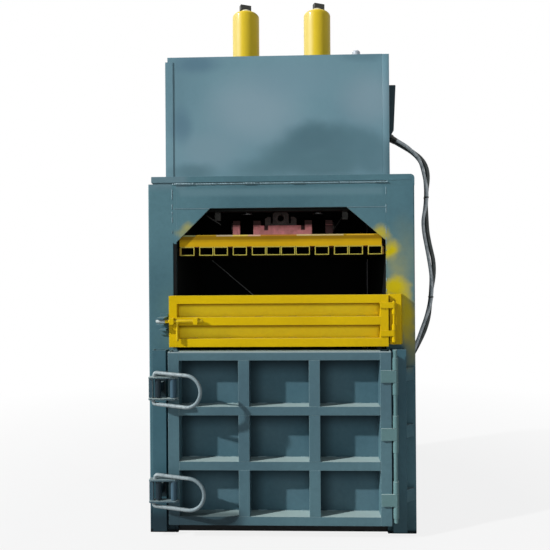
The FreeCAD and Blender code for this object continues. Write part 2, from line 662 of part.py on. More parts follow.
# platen
platen_y = "%s + platenInset" % FACE
platen_half = "((12 * tubeWidth + 6 * strapSlot + 5 * seamGap) / 2)"
tubes = []
for edge in left_edges:
    tubes += tube_outlines(edge, edge + " + tubeWidth", "0", "tubeHeight", "tubeGauge")
keep(prism("platen_tube_row", "XZ", tubes, "platenDepth", (0, platen_y, "platenBottom")), "platen_tubes")
keep(prism("platen_cover", "XY", [box_outline("-" + platen_half, platen_half, "beamGauge",
                                              "platenDepth - beamGauge")],
           "plateGauge", (0, platen_y, "platenBottom + tubeHeight")), "platen_plate")
beam_base, beam_top = "plateGauge", "beamHeight"
front_beam = [(0, 0), ("beamGauge", 0), ("beamGauge", beam_base), ("beamDepth", beam_base),
              ("beamDepth", beam_base + " + beamGauge"), ("beamGauge", beam_base + " + beamGauge"),
              ("beamGauge", beam_top + " - beamGauge"), ("beamDepth", beam_top + " - beamGauge"),
              ("beamDepth", beam_top), (0, beam_top)]
rear_beam = [("platenDepth - (%s)" % y, z) for y, z in front_beam]
keep(prism("platen_beam_pair", "YZ", [front_beam, rear_beam], "2 * %s + 2" % platen_half,
           ("-%s - 5" % platen_half, platen_y, "platenBottom + tubeHeight")), "platen_beams")

ear = [(-55, 0), (55, 0), (55, "pinHeight"), (32, "earHeight"), (-32, "earHeight"), (-55, "pinHeight")]
mounts = []
for side, sign in SIDES:
    for name, shift in (("inner", "-"), ("outer", "+")):
        middle = "%s * (cylinderHalf %s earSpread)" % (sign, shift)
        mounts.append(prism("%s_%s_ear" % (side, name), "YZ", [ear, (0, "pinHeight", "pinRadius + fitGap")],
                            "earGauge", ("%s - earGauge / 2" % middle, CYLINDER_Y, PLATE_TOP)))
girder_end = "(cylinderHalf - earSpread - earGauge / 2)"
mounts.append(prism("girder", "YZ", tube_outlines("-50", "50", "0", "girderHeight", "beamGauge"),
                    "2 * %s" % girder_end, ("-" + girder_end, CYLINDER_Y, PLATE_TOP)))
group("rod_mounts", mounts)

girder_top = "(%s + girderHeight)" % PLATE_TOP
guide = new_body("guide_on_girder", (-12, "%s - 32" % CYLINDER_Y, girder_top))
sketch = new_sketch(guide, "XZ")
draw_polygon(sketch, [(-100, 0), (100, 0), (100, 44), (84, 56), (64, 56), (64, 14), (50, 14), (50, 74),
                      (36, 88), (-36, 88), (-50, 74), (-50, 14), (-64, 14), (-64, 56), (-84, 56), (-100, 44)])
draw_circle(sketch, 0, 46, 20)
add_pad(guide, sketch, 64)
sketch = new_sketch(guide, "XZ")
sketch.AttachmentOffset = FreeCAD.Placement(FreeCAD.Vector(0, 0, 9), FreeCAD.Rotation())
draw_circle(sketch, 0, 46, 32)
draw_circle(sketch, 0, 46, 20)
add_pad(guide, sketch, 9)
keep(guide, "guide_block")

pin_span = "(2 * earSpread + earGauge)"
rod_pins, rods = [], []
for side, sign in SIDES:
    pin = [(0, 0), ("pinRadius", 0), ("pinRadius", pin_span), (30, pin_span), (30, pin_span + " + 12"),
           (0, pin_span + " + 12")]
    rod_pins.append(turned(side + "_rod_pin", pin, ("%s * (cylinderHalf - %s / 2)" % (sign, pin_span),
                                                    CYLINDER_Y, PIN_HEIGHT), ((0, 1, 0), 90 * int(sign))))
    eye_top, rod_top = "45", "(%s + barrelLength - capGauge - 30 - %s)" % (LEDGE_TOP, PIN_HEIGHT)
    rod = [(0, eye_top), ("rodRadius", eye_top), ("rodRadius", rod_top + " - pistonHeight"),
           ("boreRadius - fitGap", rod_top + " - pistonHeight"), ("boreRadius - fitGap", rod_top), (0, rod_top)]
    body = turned(side + "_rod", rod, ("%s * cylinderHalf" % sign, CYLINDER_Y, PIN_HEIGHT))
    sketch = new_sketch(body, "YZ")
    sketch.AttachmentOffset = FreeCAD.Placement(FreeCAD.Vector(0, 0, -40), FreeCAD.Rotation())
    draw_box(sketch, -42, 42, -45, eye_top)
    draw_circle(sketch, 0, 0, "pinRadius + fitGap")
    add_pad(body, sketch, 80)
    rods.append(body)
group("rod_pins", rod_pins)
group("piston_rods", rods)

shoe_gap = "%s - 0.5" % CHAMBER
shoes = []
for side, sign in SIDES:
    for start in ("60", "platenDepth - 160"):
        shoes.append(box_outline("%s * %s" % (sign, platen_half), "%s * (%s)" % (sign, shoe_gap), start,
                                 start + " + 100"))
keep(prism("shoe_row", "XY", shoes, "tubeHeight - 6", (0, platen_y, "platenBottom + 3")), "guide_shoes")

# main door: a skin behind a grid of hollow sections
grid_back, grid_front = "-doorGap - doorSkin", "-doorProud"
keep(prism("door_skin", "XZ", [box_outline("-doorLeft", "doorRight", 0, "doorHeight")], "doorSkin",
           (0, "%s - doorGap - doorSkin" % FACE, "doorBottom")), "main_door_skin")
stiles = [prism("main_stile_%d" % number, "XY",
                tube_outlines(edge, edge + " + stileWidth", grid_front, grid_back, "sectionGauge"),
                "doorHeight", (0, FACE, "doorBottom"))
          for number, edge in enumerate(("-doorLeft", "doorRight - stileWidth"), start=1)]
between = "(doorLeft + doorRight - 2 * stileWidth)"
pocket_height = "((doorHeight - 4 * railHeight) / 3)"
rails = [prism("main_rail_%d" % level, "YZ",
               tube_outlines(grid_front, grid_back, "0", "railHeight", "sectionGauge"), between,
               ("-doorLeft + stileWidth", FACE, "doorBottom + %d * (railHeight + %s)" % (level, pocket_height)))
         for level in range(4)]
group("main_door_frame", stiles + [rails[0], rails[3]])
pocket_width = "((%s - 2 * stileWidth) / 3)" % between
ribs = [rails[1], rails[2]]
for level in range(3):
    low = "doorBottom + railHeight + %d * (railHeight + %s)" % (level, pocket_height)
    for number in (1, 2):
        edge = "-doorLeft + stileWidth + %d * %s + %d * stileWidth" % (number, pocket_width, number - 1)
        ribs.append(prism("main_rib_%d_%d" % (level, number), "XY",
                          tube_outlines(edge, edge + " + stileWidth", grid_front, grid_back, "sectionGauge"),
                          pocket_height, (0, FACE, low)))
group("main_door_ribs", ribs)
group("main_door_hinges", door_knuckles)


def lug(name, middle):
    """The block on the door that a latch turns in."""
    return knuckle(name, ("-latchPivot - 12", "-latchPivot + 12", "-latchProud", "-doorProud"),
                   ("-latchPivot", "-latchProud"), 16, "pivotRadius", "2 * clawHalf - clawGauge - 2",
                   middle + " - clawHalf + clawGauge / 2 + 1")


group("latch_lugs", [lug(name + "_lug", middle) for name, middle in LATCHES])

# feed door
feed_back, feed_front = "-doorGap - feedSkin", "-feedProud"
keep(prism("feed_skin", "XZ", [box_outline("-doorLeft", "feedRight", 0, "feedHeight")], "feedSkin",
           (0, "%s - doorGap - feedSkin" % FACE, "feedBottom")), "feed_door_skin")
feed_frame = [prism("feed_stile_%d" % number, "XY",
                    tube_outlines(edge, edge + " + feedRail", feed_front, feed_back, "sectionGauge"),
                    "feedHeight", (0, FACE, "feedBottom"))
              for number, edge in enumerate(("-doorLeft", "feedRight - feedRail"), start=1)]
for level in range(3):
    feed_frame.append(prism("feed_rail_%d" % level, "YZ",
                            tube_outlines(feed_front, feed_back, "0", "feedRail", "sectionGauge"),
                            "doorLeft + feedRight - 2 * feedRail",
                            ("-doorLeft + feedRail", FACE,
                             "feedBottom + %d * (feedHeight - feedRail) / 2" % level)))
group("feed_door_frame", feed_frame)
feed_strap = ("hingeAxis - 76", "hingeAxis", "-feedProud - 6", "-feedProud")
group("feed_door_hinges", [knuckle("feed_strap_" + name, feed_strap, feed_axis, "feedKnuckle", "feedPin",
                                   "feedKnuckleHeight", place) for name, place in FEED_HINGES.items()])
guides = []
for number, start in enumerate((-612, -480), start=1):
    guides.append(prism("bolt_guide_%d" % number, "YZ", [
        box_outline("-boltProud - 15", "-feedProud", "-18", "18"), ("-boltProud", 0, "boltRadius + fitGap")],
        24, (start, FACE, "boltHeight")))
group("bolt_guides", guides)

rod = cylinder("bolt_rod", "boltRadius", "boltLength", ("-boltNose", "%s - boltProud" % FACE, "boltHeight"),
               ((0, 1, 0), 90))
grip = turned("bolt_grip", [(0, 0), (4, 0), (6, 3), (6, "boltGrip"), (0, "boltGrip")],
              (-570, "%s - boltProud" % FACE, "boltHeight - boltGrip"))
weld("feed_bolt", [rod, grip])

# latches: claw plates on an upright pivot, and a U handle of round bar


def claw(name, middle):
    pivot = ("-latchPivot", "%s - latchProud" % FACE, middle)
    eye, tip = 20, "-clawReach"
    outline = [(-8, -eye), (12, -eye), (29, -9), (29, 9), (12, eye), (-8, eye), ("-catchReach", 24),
               (tip + " + 8", 24), (tip, 14), (tip, -16), (tip + " + 8", -24), ("-catchReach", -24)]
    plates = [prism("%s_plate_%s" % (name, level), "XY", [outline], "clawGauge",
                    (pivot[0], pivot[1], "%s %s clawHalf - clawGauge / 2" % (middle, shift)))
              for level, shift in (("top", "+"), ("low", "-"))]
    back = prism(name + "_back", "XY", [box_outline(tip, tip + " + 22", -10, 10)], "2 * clawHalf",
                 (pivot[0], pivot[1], middle + " - clawHalf"))
    shaft = cylinder(name + "_shaft", "pivotRadius", "2 * clawHalf + 22",
                     (pivot[0], pivot[1], middle + " - clawHalf - 11"))
    return weld(name, plates + [back, shaft])


def handle(name, middle, tilt, droop):
    """Round bar bent to a U, with two short turned-in ends that stand on the claw's plates."""
    swing = FreeCAD.Rotation(FreeCAD.Vector(0, 0, 1), -value(tilt))
    swing = swing * FreeCAD.Rotation(FreeCAD.Vector(0, 1, 0), value(droop))
    body = new_body(name + "_bar", ("-latchPivot - handleStart", "%s - latchProud" % FACE, middle),
                    (tuple(swing.Axis), math.degrees(swing.Angle)))
    foot, half, bend = value("clawHalf + clawGauge / 2") - 1.5, value("handleHalf"), 14
    straight = value("handleLength - handleHalf")
    path = new_sketch(body, "XZ")
    upper_foot = FreeCAD.Vector(0, foot, 0)
    runs = [Part.LineSegment(upper_foot, FreeCAD.Vector(0, half - bend, 0)),
            Part.ArcOfCircle(Part.Circle(FreeCAD.Vector(bend, half - bend, 0), FreeCAD.Vector(0, 0, 1), bend),
                             math.pi / 2, math.pi),
            Part.LineSegment(FreeCAD.Vector(bend, half, 0), FreeCAD.Vector(straight, half, 0)),
            Part.ArcOfCircle(Part.Circle(FreeCAD.Vector(straight, 0, 0), FreeCAD.Vector(0, 0, 1), half),
                             -math.pi / 2, math.pi / 2),
            Part.LineSegment(FreeCAD.Vector(straight, -half, 0), FreeCAD.Vector(bend, -half, 0)),
            Part.ArcOfCircle(Part.Circle(FreeCAD.Vector(bend, bend - half, 0), FreeCAD.Vector(0, 0, 1), bend),
                             math.pi, 1.5 * math.pi),
            Part.LineSegment(FreeCAD.Vector(0, bend - half, 0), FreeCAD.Vector(0, -foot, 0))]
    for run in runs:
        path.addGeometry(run)
    ring = new_sketch(body, "XY")
    ring.AttachmentOffset = FreeCAD.Placement(upper_foot.cross(FreeCAD.Vector(1, 0, 0)) * -1, FreeCAD.Rotation())
    draw_circle(ring, 0, 0, "handleRod")
    doc.recompute()
    bar = body.newObject("PartDesign::AdditivePipe", name + "_pipe")
    bar.Profile = ring
    bar.Spine = (path, [])
    between = doc.addObject("Part::Box", name + "_between")
    between.setExpression("Length", formula("4 * handleRod"))
    between.setExpression("Width", formula("4 * handleRod"))
    between.setExpression("Height", formula("2 * clawHalf + clawGauge"))
    set_place(between, "-latchPivot - handleStart - 2 * handleRod", "%s - latchProud - 2 * handleRod" % FACE,
              "%s - clawHalf - clawGauge / 2" % middle)
    flat_ends = doc.addObject("Part::Cut", name)
    flat_ends.Base, flat_ends.Tool = body, between
    return keep(flat_ends, name)


for name, middle in LATCHES:
    claw(name + "_claw", middle)
    angles = {"upper": ("handleTilt", "handleDroop"), "lower": ("lowerTilt", "lowerDroop")}[name]
    handle(name + "_handle", middle, *angles)

# terminal box, glands and the three cables on the right side
cable_y = "%s + 340" % FACE
box_face = [(0, 2268), (29, 2268), (57, 2316.5), (70, 2590), (0, 2590)]
box_body = new_body("side_box", ("housingRight", "%s - 90" % cable_y, 0))
sketch = new_sketch(box_body, "XZ")
draw_polygon(sketch, box_face)
pad = add_pad(box_body, sketch, 180)
round_edges(box_body, pad, 5, lambda edge: edge.BoundBox.XMin > 69.9)
keep(box_body, "terminal_box")

# radius, place across the bundle, and how far it fans out sideways
CABLES = {"black_hose": (13, 0, 16), "grey_cable": (10, -25, -16), "thin_cable": (8, 23, -5)}
EXIT = (663, 2292.25)
EXIT_TURN = 120
END = (705, 700)
GLAND_LENGTH = 45
GLAND_SPREAD = 1.55


def gland(name, radius, at, turn=None):
    outline = [(0, 0), (radius + 6, 0), (radius + 6, 14), (radius + 3, 16), (radius + 1, GLAND_LENGTH),
               (0, GLAND_LENGTH)]
    return turned(name, outline, at, turn)


# X, Z and fan at the points that the cables follow, from the upper glands to the lower ones
ROUTE = [(803, 2205, 0.3), (846, 2166, 0.8), (873, 2115, 1.2), (886, 2045, 1), (888, 1962, 0), (884, 1880, 0),
         (874, 1795, 1), (878, 1710, 1), (895, 1620, 1), (913, 1535, 1.2), (920, 1445, 0.8), (914, 1355, 0),
         (906, 1270, 0), (886, 1185, 0.8), (857, 1100, 1), (821, 1015, 0.6), (779, 930, 0.2), (735, 850, 0)]


def cable(name, radius, shift, fan):
    """A tube of straight runs joined by tangent arcs, each as large as its two runs allow."""
    slant = math.radians(EXIT_TURN)
    out = FreeCAD.Vector(math.sin(slant), 0, math.cos(slant))
    start = FreeCAD.Vector(EXIT[0], shift * GLAND_SPREAD, EXIT[1]) + out * GLAND_LENGTH
    finish = FreeCAD.Vector(END[0], shift * GLAND_SPREAD, END[1] + GLAND_LENGTH)
    points = [start, start + out * 60] + [FreeCAD.Vector(x + fan * wide, shift, z) for x, z, wide in ROUTE]
    points += [finish + FreeCAD.Vector(0, 0, 45), finish]
    edges, last, radii = [], points[0], []
    for before, corner, after in zip(points, points[1:], points[2:]):
        coming, going = (corner - before).normalize(), (after - corner).normalize()
        half_turn = coming.getAngle(going) / 2
        cut = 0.45 * min((corner - before).Length, (after - corner).Length)
        radii.append(cut / math.tan(half_turn))
        arc_start, arc_end = corner - coming * cut, corner + going * cut
        inward = (going - coming).normalize()
        crown = corner + inward * (radii[-1] / math.cos(half_turn) - radii[-1])
        edges += [Part.makeLine(last, arc_start), Part.Arc(arc_start, crown, arc_end).toShape()]
        last = arc_end
    edges.append(Part.makeLine(last, points[-1]))
    path = Part.Wire(edges)
    ring = Part.Wire([Part.makeCircle(radius, points[0], points[1] - points[0])])
    piece = doc.addObject("Part::Feature", name)
    piece.Shape = path.makePipeShell([ring], True, False)
    set_place(piece, 0, cable_y, 0)
    expected = math.pi * radius ** 2 * path.Length
    print("%s: length %.0f mm, radii %.0f to %.0f mm, volume over section times length %.4f"
          % (name, path.Length, min(radii), max(radii), piece.Shape.Volume / expected))
    return keep(piece, name)


glands = []
for name, (radius, shift, fan) in CABLES.items():
    cable(name, radius, shift, fan)
    across = "%s + %s" % (cable_y, shift * GLAND_SPREAD)
    glands.append(gland(name + "_upper_gland", radius, (EXIT[0], across, EXIT[1]), ((0, 1, 0), EXIT_TURN)))
    glands.append(gland(name + "_lower_gland", radius, (END[0], across, END[1])))
group("cable_glands", glands)
ties = []
for name, x, z in (("upper", 885.9, 1917), ("lower", 909.9, 1308)):
    outlines = [box_outline(-15, 15, -37.5, 33.5), box_outline(-13.5, 13.5, -36, 32)]
    ties.append(prism(name + "_tie", "XY", outlines, 9, (x, cable_y, z)))
group("cable_ties", ties)

# check and write every sub-part
doc.recompute()
for piece in doc.Objects:
    if {"Invalid", "Error"} & set(piece.State):
        raise SystemExit("%s failed: %s" % (piece.Label, piece.State))
os.makedirs("parts", exist_ok=True)
for piece in parts:
    if piece.Shape.isNull() or not piece.Shape.isValid():
        raise SystemExit("%s has no valid shape" % piece.Label)
    piece.Shape.exportStep(os.path.join("parts", piece.Label + ".step"))
whole = Part.makeCompound([piece.Shape for piece in parts]).BoundBox
print("%d sub-parts, %s" % (len(parts), whole))
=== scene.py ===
import json
import math
import random
import bmesh
import bpy
from mathutils import Matrix, Vector


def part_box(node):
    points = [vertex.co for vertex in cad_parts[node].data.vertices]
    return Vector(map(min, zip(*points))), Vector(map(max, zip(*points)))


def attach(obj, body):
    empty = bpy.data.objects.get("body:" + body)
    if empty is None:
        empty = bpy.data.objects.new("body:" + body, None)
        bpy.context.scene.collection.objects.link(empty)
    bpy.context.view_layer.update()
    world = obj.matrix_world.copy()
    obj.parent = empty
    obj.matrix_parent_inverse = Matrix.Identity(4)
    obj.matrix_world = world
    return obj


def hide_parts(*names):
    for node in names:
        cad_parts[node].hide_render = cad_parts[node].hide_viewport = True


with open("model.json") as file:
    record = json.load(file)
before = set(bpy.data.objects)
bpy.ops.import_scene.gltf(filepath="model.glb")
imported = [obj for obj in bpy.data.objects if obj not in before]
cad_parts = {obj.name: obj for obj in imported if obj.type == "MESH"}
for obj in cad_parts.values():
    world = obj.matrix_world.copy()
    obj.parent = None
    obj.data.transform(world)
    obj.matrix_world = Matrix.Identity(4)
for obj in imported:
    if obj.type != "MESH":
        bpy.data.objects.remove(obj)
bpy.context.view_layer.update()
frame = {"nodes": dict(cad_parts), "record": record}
print("frame loaded")

# the columns' front faces stand in this plane; most pieces are placed from it
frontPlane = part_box("left_column")[0].y
collection = bpy.context.scene.collection


def at(x, behind, z):
    # millimetres from the middle, behind the columns' faces and over the floor
    return Vector((x / 1000, frontPlane + behind / 1000, z / 1000))


# the camera stands where the photograph was taken
camera = {
    "distance": 3.3,            # metres before the columns' faces
    "height": 1.422,
    "sideways": 0.107,
    "yaw": 1.8,                 # degrees towards the left
    "roll": -0.40,
    "frameWidth": 550,          # pixels, as the next two
    "focalLength": 587,
    "principal": (281.5, 280),
    "clipEnd": 60,
}
cameraData = bpy.data.cameras.new("camera")
cameraData.sensor_width = 36
cameraData.lens = camera["focalLength"] / camera["frameWidth"] * cameraData.sensor_width
frameMiddle = camera["frameWidth"] / 2
cameraData.shift_x = (frameMiddle - camera["principal"][0]) / camera["frameWidth"]
cameraData.shift_y = (camera["principal"][1] - frameMiddle) / camera["frameWidth"]
cameraData.clip_end = camera["clipEnd"]
cameraObject = bpy.data.objects.new("camera", cameraData)
collection.objects.link(cameraObject)
# a camera looks down until it is turned to look ahead
ahead = Matrix.Rotation(math.radians(90), 4, "X")
turn = Matrix.Rotation(math.radians(camera["yaw"]), 4, "Z") @ ahead
turn = turn @ Matrix.Rotation(math.radians(camera["roll"]), 4, "Z")
standing = Matrix.Translation((camera["sideways"], frontPlane - camera["distance"], camera["height"]))
cameraObject.matrix_world = standing @ turn
bpy.context.scene.camera = cameraObject
bpy.context.scene.view_settings.view_transform = "Standard"
print("camera placed")


# small functions for the materials
def colour(hexText):
    # sRGB hex to linear, opaque
    channels = [int(hexText[i:i + 2], 16) / 255 for i in (0, 2, 4)]
    return [c / 12.92 if c <= 0.04045 else ((c + 0.055) / 1.055) ** 2.4 for c in channels] + [1.0]


def addNode(tree, kind, inputs=None, **settings):
    # one node with its settings; an input is a value or another node's output
    node = tree.nodes.new("ShaderNode" + kind)
    for name, setting in settings.items():
        setattr(node, name, setting)
    for name, value in (inputs or {}).items():
        socket = node.inputs[name]
        if isinstance(value, bpy.types.NodeSocket):
            tree.links.new(value, socket)
        else:
            socket.default_value = value
    return node


def newMaterial(name, roughness, metallic=0.0, coat=0.0, specular=0.5):
    material = bpy.data.materials.new(name)
    material.use_nodes = True
    tree = material.node_tree
    shader = tree.nodes["Principled BSDF"]
    shader.inputs["Roughness"].default_value = roughness
    shader.inputs["Metallic"].default_value = metallic
    shader.inputs["Coat Weight"].default_value = coat
    shader.inputs["Coat Roughness"].default_value = 0.12
    shader.inputs["Specular IOR Level"].default_value = specular
    return material, tree, shader


def lay(material, low, high, tone, fade=None, strength=1.0, ragged=0.0, core=0.15, rough=None, cell=None):
    # another tone over the paint inside a box of object coordinates, softened over the fade's length;
    # without a fade it is a round spot that fills the box and softens from its core outwards;
    # a ragged one has a wandering rim, and a rough one changes the gloss too;
    # a cell, as two corners, is repeated side by side over the whole piece
    tree = material.node_tree
    socket = tree.nodes["Principled BSDF"].inputs["Base Color"]
    under = socket.links[0].from_socket
    spot = addNode(tree, "TexCoord").outputs["Object"]
    if cell:
        spot = addNode(tree, "VectorMath", {0: spot, 1: cell[1], 2: cell[0]}, operation="WRAP").outputs[0]
    if ragged:
        # the rim wanders in bays about 90 mm across
        wander = addNode(tree, "TexNoise", {"Vector": spot, "Scale": 11.0, "Detail": 3.0}).outputs["Color"]
        wander = addNode(tree, "VectorMath", {0: wander, 1: (-0.5, -0.5, -0.5)}, operation="ADD").outputs[0]
        wander = addNode(tree, "VectorMath", {0: wander, "Scale": ragged}, operation="SCALE").outputs[0]
        spot = addNode(tree, "VectorMath", {0: spot, 1: wander}, operation="ADD").outputs[0]
    middle, half = (low + high) / 2, (high - low) / 2
    offset = addNode(tree, "VectorMath", {0: spot, 1: middle}, operation="SUBTRACT").outputs[0]
    if fade is None:
        offset = addNode(tree, "VectorMath", {0: offset, 1: half}, operation="DIVIDE").outputs[0]
        rim = 1.0
    else:
        offset = addNode(tree, "VectorMath", {0: offset}, operation="ABSOLUTE").outputs[0]
        offset = addNode(tree, "VectorMath", {0: offset, 1: half}, operation="SUBTRACT").outputs[0]
        offset = addNode(tree, "VectorMath", {0: offset, 1: (0, 0, 0)}, operation="MAXIMUM").outputs[0]
        core, rim = 0.0, fade / 1000
    distance = addNode(tree, "VectorMath", {0: offset}, operation="LENGTH").outputs["Value"]
    amount = addNode(tree, "MapRange", {"Value": distance, "From Min": core, "From Max": rim,
                                        "To Min": strength, "To Max": 0.0}, interpolation_type="SMOOTHSTEP")
    mixed = addNode(tree, "Mix", {0: amount.outputs["Result"], 6: under, 7: colour(tone)}, data_type="RGBA")
    tree.links.new(mixed.outputs[2], socket)
    if rough:
        socket = tree.nodes["Principled BSDF"].inputs["Roughness"]
        under = socket.links[0].from_socket
        mixed = addNode(tree, "Mix", {0: amount.outputs["Result"], 2: under, 3: rough})
        tree.links.new(mixed.outputs[0], socket)


def sprayedEnamel(name, deep, pale, roughness, cloudScale=1.6, coat=0.0, specular=0.2, dustAndHighlight="8a9b9b",
                  dustAndHighlightAmount=0.5, edge="859ca3", edgeWearAndHighlight=0.35, wearWidth=3, speckle=0.06):
    # alkyd enamel sprayed on plate: soft clouds of tone, fine orange peel, pale edges and dust on top; the
    # pale edges and tops are partly painted highlight
    material, tree, shader = newMaterial(name, roughness, coat=coat, specular=specular)
    spot = addNode(tree, "TexCoord").outputs["Object"]
    geometry = addNode(tree, "NewGeometry")
    # clouds about 600 mm across at a scale of 1.6
    clouds = addNode(tree, "TexNoise", {"Vector": spot, "Scale": cloudScale, "Detail": 2.0,
                                        "Roughness": 0.45})
    spread = addNode(tree, "MapRange", {"Value": clouds.outputs["Fac"], "From Min": 0.34, "From Max": 0.66})
    tone = addNode(tree, "Mix", {0: spread.outputs["Result"], 6: colour(deep), 7: colour(pale)},
                   data_type="RGBA").outputs[2]
    # specks about 25 mm across, each a little lighter or darker
    specks = addNode(tree, "TexNoise", {"Vector": spot, "Scale": 40.0, "Detail": 5.0, "Roughness": 0.7})
    shade = addNode(tree, "MapRange", {"Value": specks.outputs["Fac"], "From Min": 0.3, "From Max": 0.7,
                                       "To Min": 1 - speckle, "To Max": 1 + speckle})
    tone = addNode(tree, "VectorMath", {0: tone, "Scale": shade.outputs["Result"]},
                   operation="SCALE").outputs[0]
    # the normal rounded over a few millimetres tells where the edges are
    rounded = addNode(tree, "Bevel", {"Radius": wearWidth / 1000}, samples=4)
    facing = addNode(tree, "VectorMath", {0: rounded.outputs["Normal"], 1: geometry.outputs["Normal"]},
                     operation="DOT_PRODUCT")
    # pale edges are worn paint, and partly a painted highlight where the edges catch light
    paleEdgeMask = addNode(tree, "MapRange", {"Value": facing.outputs["Value"], "From Min": 0.995, "From Max": 0.86,
                                      "To Max": edgeWearAndHighlight})
    tone = addNode(tree, "Mix", {0: paleEdgeMask.outputs["Result"], 6: tone, 7: colour(edge)},
                   data_type="RGBA").outputs[2]
    # dust lies on what faces up, and also stands for the brighter light there: partly painted highlight
    upward = addNode(tree, "SeparateXYZ", {0: geometry.outputs["Normal"]}).outputs["Z"]
    flat = addNode(tree, "MapRange", {"Value": upward, "From Min": 0.6, "From Max": 0.95, "To Max": dustAndHighlightAmount})
    settled = addNode(tree, "Math", {0: flat.outputs["Result"], 1: shade.outputs["Result"]},
                      operation="MULTIPLY", use_clamp=True)
    tone = addNode(tree, "Mix", {0: settled.outputs[0], 6: tone, 7: colour(dustAndHighlight)},
                   data_type="RGBA").outputs[2]
    tree.links.new(tone, shader.inputs["Base Color"])
    gloss = addNode(tree, "MapRange", {"Value": specks.outputs["Fac"], "From Min": 0.3, "From Max": 0.7,
                                       "To Min": roughness - 0.06, "To Max": roughness + 0.08})
    tree.links.new(gloss.outputs["Result"], shader.inputs["Roughness"])
    # orange peel: real peel is 1 to 2 mm across, drawn at 4 mm so that it shows
    peel = addNode(tree, "TexNoise", {"Vector": spot, "Scale": 250.0, "Detail": 2.0})
    bump = addNode(tree, "Bump", {"Height": peel.outputs["Fac"], "Normal": rounded.outputs["Normal"],
                                  "Strength": 0.12, "Distance": 0.001})
    tree.links.new(bump.outputs["Normal"], shader.inputs["Normal"])
    return material


# half-gloss blue-grey enamel on the welded plate: muted, cloudy, paler where it catches dust
framePaint = sprayedEnamel("frame_enamel", "42646e", "50747d", 0.42, specular=0.12, edgeWearAndHighlight=0.5)
# the filler's edges are sanded away, so no paint wears off them
fillerPaint = sprayedEnamel("filled_seam_enamel", "42646e", "50747d", 0.42, specular=0.12, edgeWearAndHighlight=0.0,
                            wearWidth=0.2)
doorPaint = sprayedEnamel("door_enamel", "45616b", "517078", 0.40, dustAndHighlight="a6bab7", dustAndHighlightAmount=0.85,
                          edge="8ba3a6", edgeWearAndHighlight=0.6, wearWidth=4)
skinPaint = sprayedEnamel("door_skin_enamel", "44636e", "506d77", 0.45, cloudScale=3.0, specular=0.05)
jambPaint = sprayedEnamel("jamb_enamel", "355863", "436670", 0.42)
# strap hinges and knuckles are sprayed thinner, and greyer
hingePaint = sprayedEnamel("hinge_enamel", "527173", "5e7d7e", 0.40, dustAndHighlight="a6bab7", dustAndHighlightAmount=0.85,
                           edge="8ba3a6")
lugPaint = sprayedEnamel("lug_enamel", "3a5463", "48606d", 0.45)
# painted shade: the catch pins lie in the claws' shade and are made dark for it
shadedCatchPaint = sprayedEnamel("shaded_catch_enamel", "1c2a32", "26363f", 0.40)
# the housing's thin sheet is paler, smoother and glossier
housingPaint = sprayedEnamel("housing_enamel", "5e818d", "688b96", 0.36, cloudScale=1.9, specular=0.3,
                             speckle=0.02)
# the latches are sprayed too, and rubbed pale on every edge by hands and catch pins; the pale edges and tops
# are partly painted highlight
latchPaint = sprayedEnamel("latch_enamel", "2f4752", "435f69", 0.40, edge="b4c2bd", edgeWearAndHighlight=0.8,
                           wearWidth=6, dustAndHighlight="a9b8b4", dustAndHighlightAmount=0.8)
# half-gloss yellow enamel: deep and warm, paler along its edges and on top, partly as painted highlight
yellowPaint = sprayedEnamel("yellow_enamel", "c4a202", "d2b202", 0.40, specular=0.08, dustAndHighlight="d8c250",
                            dustAndHighlightAmount=0.4, edge="dcc63c", edgeWearAndHighlight=0.4, speckle=0.04)
# painted light: the feed door's skin is made far paler than its yellow, so that it looks lit in the rails'
# shade
feedSkinPaintedLight = sprayedEnamel("feed_skin_painted_light_enamel", "ffe424", "ffec34", 0.45, specular=0.08, edge="dcc63c",
                              speckle=0.04)
# the platen's yellow is darker and browner, and pale along its sawn edges
platenPaint = sprayedEnamel("worn_platen_enamel", "a07c06", "b89208", 0.5, cloudScale=5.0, specular=0.08,
                            dustAndHighlight="b8a860", dustAndHighlightAmount=0.7, edge="ccc060", edgeWearAndHighlight=1.0, wearWidth=4)
barrelPaint = sprayedEnamel("barrel_enamel", "d2b420", "d8ba26", 0.45, coat=0.1, specular=0.2,
                            dustAndHighlight="e0d68a", dustAndHighlightAmount=0.6, edge="e3d476", edgeWearAndHighlight=0.4, speckle=0.015)
boltPaint = sprayedEnamel("bolt_enamel", "bf9f06", "cdaf08", 0.38, edge="d8c96a", dustAndHighlightAmount=0.2)
# dark powder coat of the terminal box: fine even texture, hardly any gloss
boxPaint = sprayedEnamel("box_powder_coat", "1c2e34", "26393f", 0.55, cloudScale=4.0,
                         dustAndHighlight="4a5c60", dustAndHighlightAmount=0.5, edge="4c6065", edgeWearAndHighlight=0.3, speckle=0.02)


def barSteel(name, base, dark, roughness, metallic=0.85, grain=60.0):
    # steel bar or plate without paint: broad pale gloss, broken by darker handling marks;
    # the grain counts the marks along a metre, so that 60 makes them 17 mm long
    material, tree, shader = newMaterial(name, roughness, metallic=metallic)
    spot = addNode(tree, "TexCoord").outputs["Object"]
    marks = addNode(tree, "TexNoise", {"Vector": spot, "Scale": grain, "Detail": 6.0, "Roughness": 0.7})
    amount = addNode(tree, "MapRange", {"Value": marks.outputs["Fac"], "From Min": 0.45, "From Max": 0.75})
    tone = addNode(tree, "Mix", {0: amount.outputs["Result"], 6: colour(base), 7: colour(dark)},
                   data_type="RGBA").outputs[2]
    tree.links.new(tone, shader.inputs["Base Color"])
    gloss = addNode(tree, "MapRange", {"Value": marks.outputs["Fac"], "To Min": roughness - 0.1,
                                       "To Max": roughness + 0.15})
    tree.links.new(gloss.outputs["Result"], shader.inputs["Roughness"])
    bump = addNode(tree, "Bump", {"Height": marks.outputs["Fac"], "Strength": 0.15, "Distance": 0.001})
    tree.links.new(bump.outputs["Normal"], shader.inputs["Normal"])
    return material


